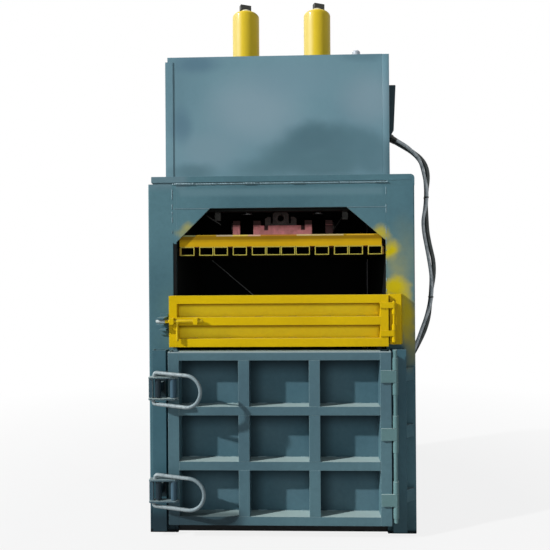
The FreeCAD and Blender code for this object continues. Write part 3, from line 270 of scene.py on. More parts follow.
# galvanised and drawn steel of the latches: pale, slightly blue
latchSteel = barSteel("galvanised_bar", "8b989b", "5a696d", 0.55, metallic=0.1)
zincPlate = barSteel("zinc_plated_steel", "a8adae", "7c8488", 0.35)
# ground and hard-chromed rod: a tight bright reflection
chromeRod = barSteel("chromed_rod", "c9cccd", "b3b8ba", 0.14, metallic=1.0, grain=12.0)
machinedIron = barSteel("machined_iron", "453e3b", "1d1b1a", 0.55, metallic=0.4, grain=45.0)
# painted shade: the floor bars and base tubes lie in shade, under the doors and inside the chamber, and are
# made near black
shadeBlackPlate = barSteel("shade_black_plate", "131718", "0a0c0d", 0.7, metallic=0.2, grain=20.0)
bronze = barSteel("bronze_wear_pad", "9c7436", "6a4c22", 0.4)
tieRod = barSteel("worn_tie_rod", "7d8080", "4d5050", 0.5, metallic=0.4)
# weld metal under a thin coat: a row of small pale scales
weldMetal = barSteel("painted_weld_metal", "728c94", "587680", 0.48, metallic=0.1, grain=160.0)
yellowWeld = barSteel("yellow_weld_metal", "dcc64a", "c0a206", 0.34, metallic=0.1, grain=160.0)


def dullPlain(name, base, other, roughness, scale, specular=0.5):
    # moulded, cast or brushed stuff with two near tones and a fine grain;
    # the scale counts its patches along a metre, so that 120 makes them 8 mm across
    material, tree, shader = newMaterial(name, roughness, specular=specular)
    spot = addNode(tree, "TexCoord").outputs["Object"]
    grain = addNode(tree, "TexNoise", {"Vector": spot, "Scale": scale, "Detail": 4.0, "Roughness": 0.6})
    amount = addNode(tree, "MapRange", {"Value": grain.outputs["Fac"], "From Min": 0.35, "From Max": 0.65})
    tone = addNode(tree, "Mix", {0: amount.outputs["Result"], 6: colour(base), 7: colour(other)},
                   data_type="RGBA").outputs[2]
    tree.links.new(tone, shader.inputs["Base Color"])
    bump = addNode(tree, "Bump", {"Height": grain.outputs["Fac"], "Strength": 0.3, "Distance": 0.0005})
    tree.links.new(bump.outputs["Normal"], shader.inputs["Normal"])
    return material


# red-oxide primer, brushed on thin: chalky, with darker brush marks, and paler than it is as painted light
# for the dim space behind the header
redPrimer = dullPlain("red_oxide_primer", "da9092", "b87a78", 0.75, 25.0, specular=0.2)
blackPlastic = dullPlain("cast_black_block", "16170f", "24241a", 0.45, 120.0)
creamPlastic = dullPlain("cream_end_cap", "ddd7b8", "c9bf95", 0.4, 90.0)
switchCase = dullPlain("moulded_switch_case", "0f100e", "1b1c18", 0.5, 120.0, specular=0.3)
# the cables' sheaths: extruded, matt, scuffed in patches 20 to 30 mm long
blackRubber = dullPlain("black_hose_rubber", "1f2524", "404947", 0.5, 45.0)
greySheath = dullPlain("grey_cable_sheath", "959fa3", "c8cfd1", 0.4, 32.0)
paleSheath = dullPlain("pale_cable_sheath", "6d7578", "a2a9ac", 0.4, 30.0)
breatherCap = dullPlain("pale_breather_cap", "b9bfc6", "9aa2aa", 0.5, 70.0)

# painted light and shade on the housing's sheet: broad pale and dark patches stand in for its uneven shading;
# the dark one has a slanting upper edge and is made of several
housingPaintedShading = {
    "front": -300, "back": 400, "ragged": 0.035,
    # X, Z, half widths in millimetres, tone, strength, core
    "spots": [
        (-150, 2400, 380, 280, "7b949f", 0.8, 0.2), (60, 2560, 360, 170, "6c8b98", 0.5, 0.2),
        (-400, 2170, 260, 170, "6f8c97", 0.8, 0.2), (510, 2450, 250, 210, "758e99", 0.75, 0.2),
        (-110, 2055, 240, 100, "446771", 0.7, 0.1), (10, 2120, 200, 130, "446771", 0.8, 0.15),
        (105, 2190, 170, 140, "426570", 0.85, 0.2), (185, 2235, 150, 130, "426570", 0.9, 0.3),
        (310, 2205, 180, 150, "426570", 0.9, 0.3), (450, 2190, 180, 140, "476a75", 0.85, 0.3),
        (250, 2080, 360, 110, "446771", 0.9, 0.3), (540, 2120, 130, 150, "486b76", 0.8, 0.4),
        (-480, 2660, 190, 75, "4b6d7f", 0.7, 0.2), (-565, 2310, 90, 150, "4c6d7e", 0.7, 0.2),
        (-500, 2045, 190, 70, "486973", 0.7, 0.2), (480, 2690, 190, 50, "4f717e", 0.6, 0.2),
    ],
}
for x, z, wide, tall, tone, strength, core in housingPaintedShading["spots"]:
    lay(housingPaint, at(x - wide, housingPaintedShading["front"], z - tall),
        at(x + wide, housingPaintedShading["back"], z + tall), tone, strength=strength,
        ragged=housingPaintedShading["ragged"], core=core)

# where the yellow gun sprayed past the feed door and the platen
overspray = {
    "front": -200, "back": 100, "tone": "bcaa00", "ragged": 0.09,
    # X, Z, half widths in millimetres, strength, core
    "spots": [
        (606, 1583, 92, 84, 1.0, 0.3), (635, 1370, 116, 92, 1.0, 0.4), (640, 1480, 110, 150, 0.25, 0.1),
        (690, 1530, 130, 330, 0.16, 0.1), (698, 1235, 66, 240, 0.95, 0.3),
        (720, 1010, 60, 130, 0.3, 0.1), (735, 1110, 50, 150, 0.5, 0.1), (560, 1676, 76, 62, 0.9, 0.15),
        (-522, 1716, 58, 52, 0.6, 0.1), (-556, 1684, 46, 40, 0.4, 0.1),
    ],
}
for paint in (framePaint, fillerPaint):
    for x, z, wide, tall, strength, core in overspray["spots"]:
        lay(paint, at(x - wide, overspray["front"], z - tall), at(x + wide, overspray["back"], z + tall),
            overspray["tone"], strength=strength, ragged=overspray["ragged"], core=core)

# dirt, grease, rubbing, painted shade and painted highlights, in the order in which they lie: the paints, two
# corners of the place as at() takes them, tone, fade in millimetres and strength
coats = [
    # dirt from the floor; painted shadow thicker on the left, and painted black shade at the feet
    ([framePaint, jambPaint], (-800, -300, -60), (800, 1000, 60), "18262b", 300, 0.4),
    ([framePaint, jambPaint], (-800, -300, -60), (-560, 1000, 90), "16232b", 110, 0.75),
    ([framePaint, jambPaint], (-800, -300, -60), (800, 1000, 10), "0a1012", 16, 0.9),
    # a painted highlight in a band along the header's bend, and a greyer end of the upper base frame
    ([framePaint], (-560, -20, 1912), (560, 13, 1926), "5f7f88", 26, 0.6),
    ([framePaint], (-735, -3, 1976), (-560, 0, 2012), "667d86", 60, 0.6),
    # painted shade behind the claws round the two catches, and painted shade darkening the lower claw
    ([jambPaint], (-700, -62, 780.5), (-640, -58, 900.5), "10191d", 8, 0.9),
    ([jambPaint], (-700, -62, 227.5), (-640, -58, 347.5), "10191d", 8, 0.9),
    ([latchPaint], (-730, -200, 190), (-540, -100, 380), "3d5764", 20, 0.5),
    # a painted shadow on the main door's lower left, and a pale painted highlight along its upper edge
    ([doorPaint], (-640, -110, 60), (-260, -80, 122), "1b2930", 90, 0.7),
    ([doorPaint], (-618, -108, 1027), (598, -80, 1034), "93a3a5", 3, 0.8),
    # painted shade on the feed door's skin under its rails
    ([feedSkinPaintedLight], (-600, -20, 1290), (600, 0, 1300), "8a6600", 22, 0.85),
    ([feedSkinPaintedLight], (-600, -20, 1167), (600, 0, 1177), "8a6600", 22, 0.85),
    # a pale painted highlight down the lit side of each barrel
    ([barrelPaint], (-317, 300, 2700), (-279, 600, 3140), "cbb96e", 36, 0.75),
    ([barrelPaint], (137, 300, 2700), (175, 600, 3140), "cbb96e", 36, 0.75),
    # painted shade on the platen's front beam under its flange, and a paler band along its foot
    ([platenPaint], (-600, 15, 1658), (600, 21, 1671), "6e5004", 12, 0.7),
    ([platenPaint], (-600, 15, 1618), (600, 21, 1634), "c9a00c", 12, 0.7),
    # the tubes' sawn ends are bare of dirt
    ([platenPaint], (-572, 19.5, 1562), (572, 20.6, 1612), "aeaa52", 0.5, 0.75),
    # the rod mounts are greasy above the girder and rusty along their foot; they are darker on the right, and
    # two black spots are painted shade in the girder's V notches
    ([redPrimer], (-330, 380, 1772), (330, 520, 1810), "453c3a", 5, 0.9),
    ([redPrimer], (270, 380, 1620), (330, 520, 1764), "101111", 5, 0.93),
    ([redPrimer], (-192, 380, 1620), (192, 400, 1630), "8a5230", 8, 0.8),
    ([redPrimer], (-113, 380, 1740), (-95, 404, 1768), "0c0c0c", 7, 0.95),
    ([redPrimer], (119, 380, 1740), (137, 404, 1768), "0c0c0c", 7, 0.95),
    # the bolt's nose is bare where it slides in its keeper, and the handles' bends are darker with painted
    # shade
    ([boltPaint], (-700, -100, 1180), (-640, -70, 1215), "a3adad", 4, 1.0),
    ([latchSteel], (-475, -245, 170), (-395, -120, 945), "62747a", 45, 0.7),
]
for paints, low, high, tone, fade, strength in coats:
    for paint in paints:
        lay(paint, at(*low), at(*high), tone, fade=fade, strength=strength)

# the beam's top edge is rubbed to primer and metal in places
beamEdge = {
    "front": 15, "back": 90, "low": 1674, "high": 1682, "fade": 4, "strength": 0.9,
    # X from and to, tone
    "places": [
        (-556, -487, "8f9668"), (-364, -273, "b0a288"), (-270, -187, "d6c05c"), (-184, -116, "cba48c"),
        (-112, 88, "a8702e"), (92, 352, "c2ae78"), (372, 524, "cca22a"),
    ],
}
for left, right, tone in beamEdge["places"]:
    lay(platenPaint, at(left, beamEdge["front"], beamEdge["low"]),
        at(right, beamEdge["back"], beamEdge["high"]), tone, fade=beamEdge["fade"],
        strength=beamEdge["strength"])

# the main door's border and ledges, in millimetres, leave nine pockets
doorGrid = {"left": -620, "low": 84, "width": 1218, "height": 948, "stile": 60, "rail": 48, "skin": -12}
pocketWidth = (doorGrid["width"] - 4 * doorGrid["stile"]) / 3
pocketHeight = (doorGrid["height"] - 4 * doorGrid["rail"]) / 3
left, low = doorGrid["left"] + doorGrid["stile"] / 2, doorGrid["low"] + doorGrid["rail"] / 2
right, high = left + doorGrid["stile"] + pocketWidth, low + doorGrid["rail"] + pocketHeight
# the cell is far deeper than the door, so that it repeats sideways and upwards only
pocketCell = (Vector((left / 1000, -9, low / 1000)), Vector((right / 1000, 9, high / 1000)))
# painted shade lies along the top and the left of each pocket
pocketShade = {"front": -20, "top": 30, "side": 32}
lay(skinPaint, at(left, pocketShade["front"], high - pocketShade["top"]), at(right, 0, high), "1a2a32", fade=100,
    strength=0.9, cell=pocketCell)
lay(skinPaint, at(left, pocketShade["front"], low), at(left + pocketShade["side"], 0, high), "1b2b32", fade=90,
    strength=0.75, cell=pocketCell)

# painted shade: the chamber's inside lies in shade, so it is made black and dull
chamber = {"half": 590.5, "low": 20, "high": 1970, "front": 12.5, "doorSkins": -4.3, "back": 810.5}
for paint in (framePaint, skinPaint, doorPaint, feedSkinPaintedLight, yellowPaint):
    front = chamber["front"] if paint is framePaint else chamber["doorSkins"]
    nearCorner = at(-chamber["half"], front, chamber["low"])
    farCorner = at(chamber["half"], chamber["back"], chamber["high"])
    lay(paint, nearCorner, farCorner, "080b0a", fade=0.3, rough=0.95)
# painted shade, black too: the left wall plate's front edge, the tubes behind their sawn ends, the piston
# rods' feet
lay(framePaint, at(-606, -1, 1230), at(-589, 4, 1628), "080a0a", fade=5)
lay(platenPaint, at(-590, 34, 1560), at(590, 780, 1612), "100f09", fade=9, strength=0.97, rough=0.9)
lay(chromeRod, at(-400, 300, 1600), at(400, 600, 1835), "030303", fade=12, rough=0.8)
print("materials made")

slotMaterials = {
    "blue_paint": framePaint, "yellow_paint": yellowPaint, "bare_steel": latchSteel,
    "zinc_plate": zincPlate, "chrome_rod": chromeRod, "red_primer": redPrimer,
    "machined_iron": machinedIron, "teal_paint": boxPaint, "black_plastic": blackPlastic,
    "cream_plastic": creamPlastic, "bronze_wear": bronze, "black_rubber": blackRubber,
    "grey_sheath": greySheath, "grey_breather": breatherCap,
}
# pieces whose finish differs from their slot's
nodeMaterials = {
    "main_door_skin": skinPaint, "main_door_frame": doorPaint, "main_door_ribs": doorPaint,
    "main_door_hinges": hingePaint, "jamb_knuckles": hingePaint, "latch_lugs": lugPaint, "jambs": jambPaint,
    "upper_claw": latchPaint, "lower_claw": latchPaint, "door_catches": shadedCatchPaint,
    "platen_tubes": platenPaint, "platen_beams": platenPaint, "rod_pins": machinedIron,
    "housing_panels": housingPaint, "housing_top": housingPaint, "feed_door_skin": feedSkinPaintedLight,
    "floor_bars": shadeBlackPlate, "base_tubes": shadeBlackPlate, "rear_rods": tieRod, "limit_switches": switchCase,
}
for entry in frame["record"]["subparts"]:
    cadPiece = frame["nodes"][entry["node"]]
    cadPiece.data.materials.clear()
    cadPiece.data.materials.append(nodeMaterials.get(entry["node"], slotMaterials[entry["material_slot"]]))
print("frame painted")

# three cables run from the terminal box over to the side channels; radius, place across the route and fan are
# in millimetres, the length in metres
cables = {
    "black_hose": {"radius": 13, "across": 0, "fan": 14, "length": 1.65, "sheath": blackRubber,
                   "slot": "black_rubber"},
    "grey_cable": {"radius": 10, "across": -25, "fan": -14, "length": 1.63, "sheath": greySheath,
                   "slot": "grey_sheath"},
    "thin_cable": {"radius": 8, "across": 23, "fan": -3, "length": 1.63, "sheath": paleSheath,
                   "slot": "grey_sheath"},
}
cableRoute = {
    "behind": 340,
    "exit": (663, 2292.25),     # X and Z on the terminal box
    "exitAngle": 120,           # degrees from straight up
    "end": (705, 700),          # X and Z on the channel
    "gland": 45,                # its length
    "glandSpread": 1.55,        # the glands stand wider apart than the cables
    "leaving": 60,              # straight runs out of the first gland and into the last
    "arriving": 45,
    # X, Z and share of the fan
    "points": [(803, 2205, 0.3), (846, 2166, 0.8), (873, 2115, 1.2), (886, 2045, 1), (888, 1962, 0),
               (884, 1880, 0), (874, 1795, 1), (878, 1710, 1), (895, 1620, 1), (913, 1535, 1.2),
               (920, 1445, 0.8), (914, 1355, 0), (906, 1270, 0), (886, 1185, 0.8), (857, 1100, 1),
               (821, 1015, 0.6), (779, 930, 0.2), (735, 850, 0)],
}
exitX, exitZ = cableRoute["exit"]
endX, endZ = cableRoute["end"][0], cableRoute["end"][1] + cableRoute["gland"]
exitAngle = math.radians(cableRoute["exitAngle"])
outward = Vector((math.sin(exitAngle), 0, math.cos(exitAngle)))
for name, cable in cables.items():
    behind = cableRoute["behind"] + cable["across"]
    wide = cableRoute["behind"] + cable["across"] * cableRoute["glandSpread"]
    start = at(exitX, wide, exitZ) + outward * cableRoute["gland"] / 1000
    route = [start, start + outward * (cableRoute["leaving"] / 1000)]
    route += [at(x + cable["fan"] * share, behind, z) for x, z, share in cableRoute["points"]]
    route += [at(endX, wide, endZ + cableRoute["arriving"]), at(endX, wide, endZ)]
    line = bpy.data.curves.new(name + "_line", "CURVE")
    line.dimensions = "3D"
    line.bevel_depth = cable["radius"] / 1000
    line.bevel_resolution = 5
    line.resolution_u = 8
    line.use_fill_caps = True
    spline = line.splines.new("NURBS")
    spline.points.add(len(route) - 1)
    for point, corner in zip(spline.points, route):
        point.co = (*corner, 1)
    spline.order_u = 3
    spline.use_endpoint_u = True
    piece = bpy.data.objects.new(name + "_run", line)
    collection.objects.link(piece)
    line.materials.append(cable["sheath"])
    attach(piece, "frame")
    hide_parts(name)


# small functions for the shapes
def addPiece(name, work, material, body, replaced=(), smooth=None):
    # closes the seams, turns the faces outwards, hangs the piece on the empty of the body it rides on, and
    # hides the parts it stands for
    bmesh.ops.remove_doubles(work, verts=work.verts[:], dist=1e-6)
    bmesh.ops.recalc_face_normals(work, faces=work.faces[:])
    mesh = bpy.data.meshes.new(name)
    work.to_mesh(mesh)
    work.free()
    if smooth:
        mesh.shade_smooth()
        mesh.set_sharp_from_angle(angle=math.radians(smooth))
    mesh.materials.append(material)
    piece = bpy.data.objects.new(name, mesh)
    collection.objects.link(piece)
    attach(piece, body)
    if replaced:
        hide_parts(*replaced)
    return piece


def lathe(work, outline, foot, steps=72):
    # turns an outline of (radius, height) in millimetres about an upright axis
    verts = [work.verts.new(foot + Vector((radius, 0, height)) / 1000) for radius, height in outline]
    edges = [work.edges.new(pair) for pair in zip(verts, verts[1:])]
    bmesh.ops.spin(work, geom=verts + edges, cent=foot, axis=(0, 0, 1), dvec=(0, 0, 0),
                   angle=2 * math.pi, steps=steps, use_merge=True)


def roundEdges(work, edges, radius, segments):
    # the radius is in millimetres
    bmesh.ops.bevel(work, geom=edges, offset=radius / 1000, offset_type="OFFSET", affect="EDGES",
                    segments=segments, profile=0.5, material=-1)


def block(work, low, high, rounding=0):
    # a box from corner to corner, its edges rounded by so many millimetres; a sharp one gives its corners
    middle, size = (low + high) / 2, high - low
    place = Matrix.Translation(middle) @ Matrix.Diagonal((*size, 1))
    made = bmesh.ops.create_cube(work, size=1, matrix=place)["verts"]
    if rounding:
        roundEdges(work, list({edge for vert in made for edge in vert.link_edges}), rounding, 2)
        return []
    return made


def newRing(made):
    # the vertices that an extrusion or a spin has just made, and the edges between them
    ring = [item for item in made if isinstance(item, bmesh.types.BMVert)]
    reached = set(ring)
    return ring, list({edge for vert in ring for edge in vert.link_edges if set(edge.verts) <= reached})


def bentBar(work, start, heading, axis, radius, moves, sides=20, stepAngle=7):
    # round bar: ("run", length) goes straight, ("bend", radius, degrees) turns about the axis
    place = Matrix.Translation(start) @ heading.to_track_quat("Z", "Y").to_matrix().to_4x4()
    ring = bmesh.ops.create_circle(work, cap_ends=False, segments=sides, radius=radius,
                                   matrix=place)["verts"]
    edges = list({edge for vert in ring for edge in vert.link_edges})
    openEnds = edges[:]
    for kind, *amounts in moves:
        if kind == "run":
            made = bmesh.ops.extrude_edge_only(work, edges=edges)["geom"]
            ring, edges = newRing(made)
            bmesh.ops.translate(work, verts=ring, vec=heading * amounts[0])
            start = start + heading * amounts[0]
        else:
            centre = start + axis.cross(heading) * amounts[0]
            angle = math.radians(amounts[1])
            made = bmesh.ops.spin(work, geom=edges + ring, cent=centre, axis=axis, dvec=(0, 0, 0),
                                  angle=angle, steps=round(amounts[1] / stepAngle))["geom_last"]
            ring, edges = newRing(made)
            swing = Matrix.Rotation(angle, 3, axis)
            start, heading = centre + swing @ (start - centre), swing @ heading
    bmesh.ops.holes_fill(work, edges=openEnds, sides=0)
    bmesh.ops.holes_fill(work, edges=edges, sides=0)


# a weld bead is a run of overlapping scales; a real scale is 3 mm long, drawn at 9 mm so that it shows
bead = {
    "pitch": 9, "fewest": 3, "sides": 7, "start": 0.6,
    "slope": 0.84,              # share of a scale over which it swells, before it drops off short
    "crest": (0.95, 1.2),       # shares of the bead's radius
    "foot": (0.65, 0.8),
}
scales = random.Random(7)


def weldBead(work, start, end, radius):
    along = end - start
    count = max(bead["fewest"], round(along.length * 1000 / bead["pitch"]))
    place = Matrix.Translation(start) @ along.normalized().to_track_quat("Z", "Y").to_matrix().to_4x4()
    ring = bmesh.ops.create_circle(work, cap_ends=True, segments=bead["sides"],
                                   radius=radius * bead["start"] / 1000, matrix=place)["verts"]
    edges = list({edge for vert in ring for edge in vert.link_edges})
    for share, sizes in [(bead["slope"], bead["crest"]), (1 - bead["slope"], bead["foot"])] * count:
        ring, edges = newRing(bmesh.ops.extrude_edge_only(work, edges=edges)["geom"])
        bmesh.ops.translate(work, verts=ring, vec=along / count * share)
        centre = sum((vert.co for vert in ring), Vector()) / len(ring)
        size = radius / 1000 * scales.uniform(*sizes)
        for vert in ring:
            vert.co = centre + (vert.co - centre).normalized() * size
    bmesh.ops.holes_fill(work, edges=edges, sides=0)


# two ties hug the three cables: X and Z of each; each has a small lock on its front
ties = {
    "places": [(885.9, 1921), (909.9, 1312)], "half": 3.5, "gauge": 1.3, "slack": 0.6,
    "lock": {"halfWidth": 4, "halfHeight": 4.5, "front": 300.5, "back": 305.5, "rounding": 1},
}
lock = ties["lock"]
work = bmesh.new()
for x, z in ties["places"]:
    rings = []
    for cable in cables.values():
        for level in (-ties["half"], ties["half"]):
            place = Matrix.Translation(at(x, cableRoute["behind"] + cable["across"], z + level))
            rings += bmesh.ops.create_circle(work, cap_ends=False, segments=24, matrix=place,
                                             radius=(cable["radius"] + ties["slack"]) / 1000)["verts"]
    # the hull's flat ends and the points inside it go, and its sides become the band
    hull = bmesh.ops.convex_hull(work, input=rings)
    inner = [item for item in hull["geom_interior"] + hull["geom_unused"]
             if isinstance(item, bmesh.types.BMVert)]
    bmesh.ops.delete(work, geom=list(set(inner)), context="VERTS")
    levels = {face: abs(face.calc_center_median().z * 1000 - z) for face in work.faces}
    band = [face for face, level in levels.items() if level < ties["half"] - 1]
    caps = [face for face, level in levels.items() if abs(level - ties["half"]) < 0.5]
    bmesh.ops.delete(work, geom=caps, context="FACES")
    bmesh.ops.solidify(work, geom=band, thickness=-ties["gauge"] / 1000)
    block(work, at(x - lock["halfWidth"], lock["front"], z - lock["halfHeight"]),
          at(x + lock["halfWidth"], lock["back"], z + lock["halfHeight"]), lock["rounding"])
cableTies = addPiece("cable_tie_bands", work, blackPlastic, "frame", ("cable_ties",),
                     smooth=40)
print("cables laid")

# two cylinders, each with its flange, a raised seam and a rounded shoulder
barrel = {
    "axis": 227, "behind": 450, "foot": 2010, "flange": 120, "flangeHeight": 30, "flangeRounding": 2,
    "outline": [(0, 4), (84.5, 4), (84.5, 30), (90, 31), (90.5, 36), (84.5, 42), (84.5, 1030), (84.5, 1086),
                (83.8, 1091), (81.5, 1096.5), (77.5, 1101.5), (71, 1107), (62, 1111.5), (52, 1114.8),
                (41, 1117), (0, 1117)],
}
for side, x in (("left", -barrel["axis"]), ("right", barrel["axis"])):
    work = bmesh.new()
    lathe(work, barrel["outline"], at(x, barrel["behind"], barrel["foot"]))
    half = barrel["flange"]
    block(work, at(x - half, barrel["behind"] - half, barrel["foot"]),
          at(x + half, barrel["behind"] + half, barrel["foot"] + barrel["flangeHeight"]),
          barrel["flangeRounding"])
    addPiece(side + "_barrel", work, barrelPaint, "frame", (side + "_cylinder",), smooth=40)
print("cylinders turned")

# the housing's front sheet, a little buckled between its welds, as thin sheet is
frontSheet = {
    "left": -644, "right": 581, "low": 2010, "high": 2700, "behind": 46, "gauge": 4,
    "cells": (80, 46), "stiffRim": 90,      # the rim stays flat, and the dents grow over its width
    # X, Z, half widths and depth of each dent
    "dents": [(120, 2480, 330, 170, 3.0), (-330, 2330, 260, 200, 2.4), (330, 2190, 240, 130, 2.6),
              (-450, 2560, 160, 110, 2.0), (-60, 2150, 260, 120, 1.8), (440, 2520, 170, 170, 2.2)],
}
work = bmesh.new()
width, height = frontSheet["right"] - frontSheet["left"], frontSheet["high"] - frontSheet["low"]
middle = at((frontSheet["left"] + frontSheet["right"]) / 2, frontSheet["behind"],
            (frontSheet["low"] + frontSheet["high"]) / 2)
place = Matrix.Translation(middle) @ Matrix.Rotation(math.radians(90), 4, "X")
place = place @ Matrix.Diagonal((width / 2000, height / 2000, 1, 1))
across, upward = frontSheet["cells"]
bmesh.ops.create_grid(work, x_segments=across, y_segments=upward, size=1, matrix=place)
for vert in work.verts:
    x, z = vert.co.x * 1000, vert.co.z * 1000
    margin = min(x - frontSheet["left"], frontSheet["right"] - x, z - frontSheet["low"],
                 frontSheet["high"] - z)
    free = min(1, max(0, margin / frontSheet["stiffRim"]))
    sunk = sum(depth * math.exp(-((x - dentX) / wide) ** 2 - ((z - dentZ) / tall) ** 2)
               for dentX, dentZ, wide, tall, depth in frontSheet["dents"])
    vert.co.y += sunk * free / 1000
bmesh.ops.solidify(work, geom=work.faces[:], thickness=-frontSheet["gauge"] / 1000)
addPiece("housing_front_sheet", work, housingPaint, "frame", ("housing_front",), smooth=30)
print("housing sheet made")

# the latches' handles, round bar bent to a U
handles = {
    "pivot": -584, "proud": 140, "start": 105, "rod": 10, "foot": 60.5, "half": 85, "corner": 14,
    "straight": 194,
    # level, and degrees of tilt and droop
    "latches": {"upper": (840.5, 17, 2.5), "lower": (287.5, 8, 4)},
}
for name, (level, tilt, droop) in handles["latches"].items():
    swing = Matrix.Rotation(math.radians(-tilt), 3, "Z") @ Matrix.Rotation(math.radians(droop), 3, "Y")
    foot = at(handles["pivot"] - handles["start"], -handles["proud"], level)
    foot += swing @ Vector((0, 0, handles["foot"] / 1000))
    rise = (handles["half"] - handles["corner"] - handles["foot"]) / 1000
    straight = (handles["straight"] - handles["corner"]) / 1000
    corner = ("bend", handles["corner"] / 1000, 90)
    work = bmesh.new()
    bentBar(work, foot, swing @ Vector((0, 0, 1)), swing @ Vector((0, 1, 0)), handles["rod"] / 1000,
            [("run", rise), corner, ("run", straight), ("bend", handles["half"] / 1000, 180),
             ("run", straight), corner, ("run", rise)])
    addPiece(name + "_handle_bar", work, latchSteel, name + "_latch", (name + "_handle",),
             smooth=60)
print("handles bent")

# the feed door's bolt has a chamfered nose and a turned grip that hangs from it
bolt = {
    "nose": -688, "behind": -86, "height": 1198, "gripX": -570, "gripDrop": 110,
    "shaft": [(0, 0), (6.5, 0), (9.5, 4), (9.5, 256), (7.5, 259), (0, 259)],
    "grip": [(0, 0), (4, 0), (6.5, 1.2), (7.8, 4), (8, 10), (7, 60), (7.5, 104), (0, 104)],
}
work = bmesh.new()
lathe(work, bolt["shaft"], Vector(), steps=32)
lying = Matrix.Rotation(math.radians(90), 4, "Y")
bmesh.ops.transform(work, verts=work.verts[:], matrix=Matrix.Translation(
    at(bolt["nose"], bolt["behind"], bolt["height"])) @ lying)
lathe(work, bolt["grip"], at(bolt["gripX"], bolt["behind"], bolt["height"] - bolt["gripDrop"]), steps=32)
addPiece("bolt_with_grip", work, boltPaint, "feed_bolt", ("feed_bolt",), smooth=40)
print("bolt turned")

# the hinge pins have chamfered ends and wear the paint of their doors
pins = {
    "axis": 620, "chamfer": 2,
    "doors": {
        "main": {"behind": -100, "low": 100, "length": 940, "radius": 11, "paint": hingePaint,
                 "slot": "blue_paint", "replaced": ("hinge_pins",)},
        "feed": {"behind": -64, "low": 1074, "length": 228, "radius": 6, "paint": yellowPaint,
                 "slot": "yellow_paint", "replaced": ()},
    },
}
for name, pin in pins["doors"].items():
    work = bmesh.new()
    radius, length, chamfer = pin["radius"], pin["length"], pins["chamfer"]
    lathe(work, [(0, 0), (radius - chamfer, 0), (radius, chamfer), (radius, length - chamfer),
                 (radius - chamfer, length), (0, length)],
          at(pins["axis"], pin["behind"], pin["low"]), steps=32)
    addPiece(name + "_hinge_pin", work, pin["paint"], "frame", pin["replaced"], smooth=30)
print("hinge pins turned")

# weld beads on the frame, where plates meet at the header
seams = {
    "header": {"left": -612, "right": 596, "level": 1967, "radius": 5.2},
    # a second pass over part of it
    "passes": {"starts": (-600, -560, -210, 60, 530), "length": 70, "proud": 3, "level": 1967.5,
               "radius": 5.5},
    # the upright ones are broken and ground low: X, low end, how far proud, radius, share of the gap
    "uprights": [(-613, 1690, 0.5, 2.4, 1), (591, 1300, 0.3, 1.9, 1.6)],
    "high": 1962, "shortest": 40, "stitch": (12, 60), "gap": (6, 50),
    # beside the notch: from X to X
    "notch": {"spans": [(-604, -400), (374, 588)], "level": 1828, "radius": 2.3},
}
work = bmesh.new()
header, passes, notch = seams["header"], seams["passes"], seams["notch"]
weldBead(work, at(header["left"], 0, header["level"]), at(header["right"], 0, header["level"]),
         header["radius"])
for start in passes["starts"]:
    weldBead(work, at(start, -passes["proud"], passes["level"]),
             at(start + passes["length"], -passes["proud"], passes["level"]), passes["radius"])
for x, low, proud, radius, gapShare in seams["uprights"]:
    z = low
    while z < seams["high"] - seams["shortest"]:
        top = min(z + scales.uniform(*seams["stitch"]), seams["high"])
        weldBead(work, at(x, -proud, z), at(x, -proud, top), radius)
        z = top + scales.uniform(*seams["gap"]) * gapShare
for left, right in notch["spans"]:
    weldBead(work, at(left, 0, notch["level"]), at(right, 0, notch["level"]), notch["radius"])
addPiece("frame_welds", work, weldMetal, "frame", smooth=50)

# filler painted over: in the grooves beside the header, and over the upper base frame's right end,
# where the column's face runs up to a rounded shoulder
fillers = {"proud": 0.15, "back": 3, "high": 1966, "grooves": [(-613, -590, 1636), (590, 614, 1240)]}
shoulder = {
    "right": 750, "low": 1946, "high": 2009.6, "rounding": 22, "footProud": 0.2,
    # left side, front and back of the face and of the corner block behind it
    "blocks": [(596, -2.5, 4), (710, -2.3, 148)],
}
work = bmesh.new()
for left, right, low in fillers["grooves"]:
    block(work, at(left, -fillers["proud"], low), at(right, fillers["back"], fillers["high"]))
middleHeight = (shoulder["low"] + shoulder["high"]) / 2000
for left, front, back in shoulder["blocks"]:
    made = block(work, at(left, front, shoulder["low"]), at(shoulder["right"], back, shoulder["high"]))
    for vert in made:
        # the lower edge runs out into the column's face
        if vert.co.z < middleHeight and vert.co.y < frontPlane:
            vert.co.y = frontPlane - shoulder["footProud"] / 1000
    corner = {edge for vert in made for edge in vert.link_edges
              if all(end.co.x > shoulder["right"] / 1000 - 0.001 and end.co.z > middleHeight
                     for end in edge.verts)}
    roundEdges(work, list(corner), shoulder["rounding"], 6)
addPiece("filled_seams", work, fillerPaint, "frame", smooth=30)

# an edge strip closes the housing's right return, and a narrow backing plate carries the terminal box:
# two corners of each, and the rounding of its edges
trims = [
    ("housing_edge_strip", (580.5, 41.7, 2010.5), (619.8, 50.2, 2699.5), 1.2, housingPaint, "blue_paint"),
    ("box_backing_plate", (619.8, 262, 2014), (628.5, 418, 2600), 1.5, boxPaint, "teal_paint"),
]
for name, low, high, rounding, paint, slotName in trims:
    work = bmesh.new()
    block(work, at(*low), at(*high), rounding)
    addPiece(name, work, paint, "frame", smooth=30)
print("filler and trims made")

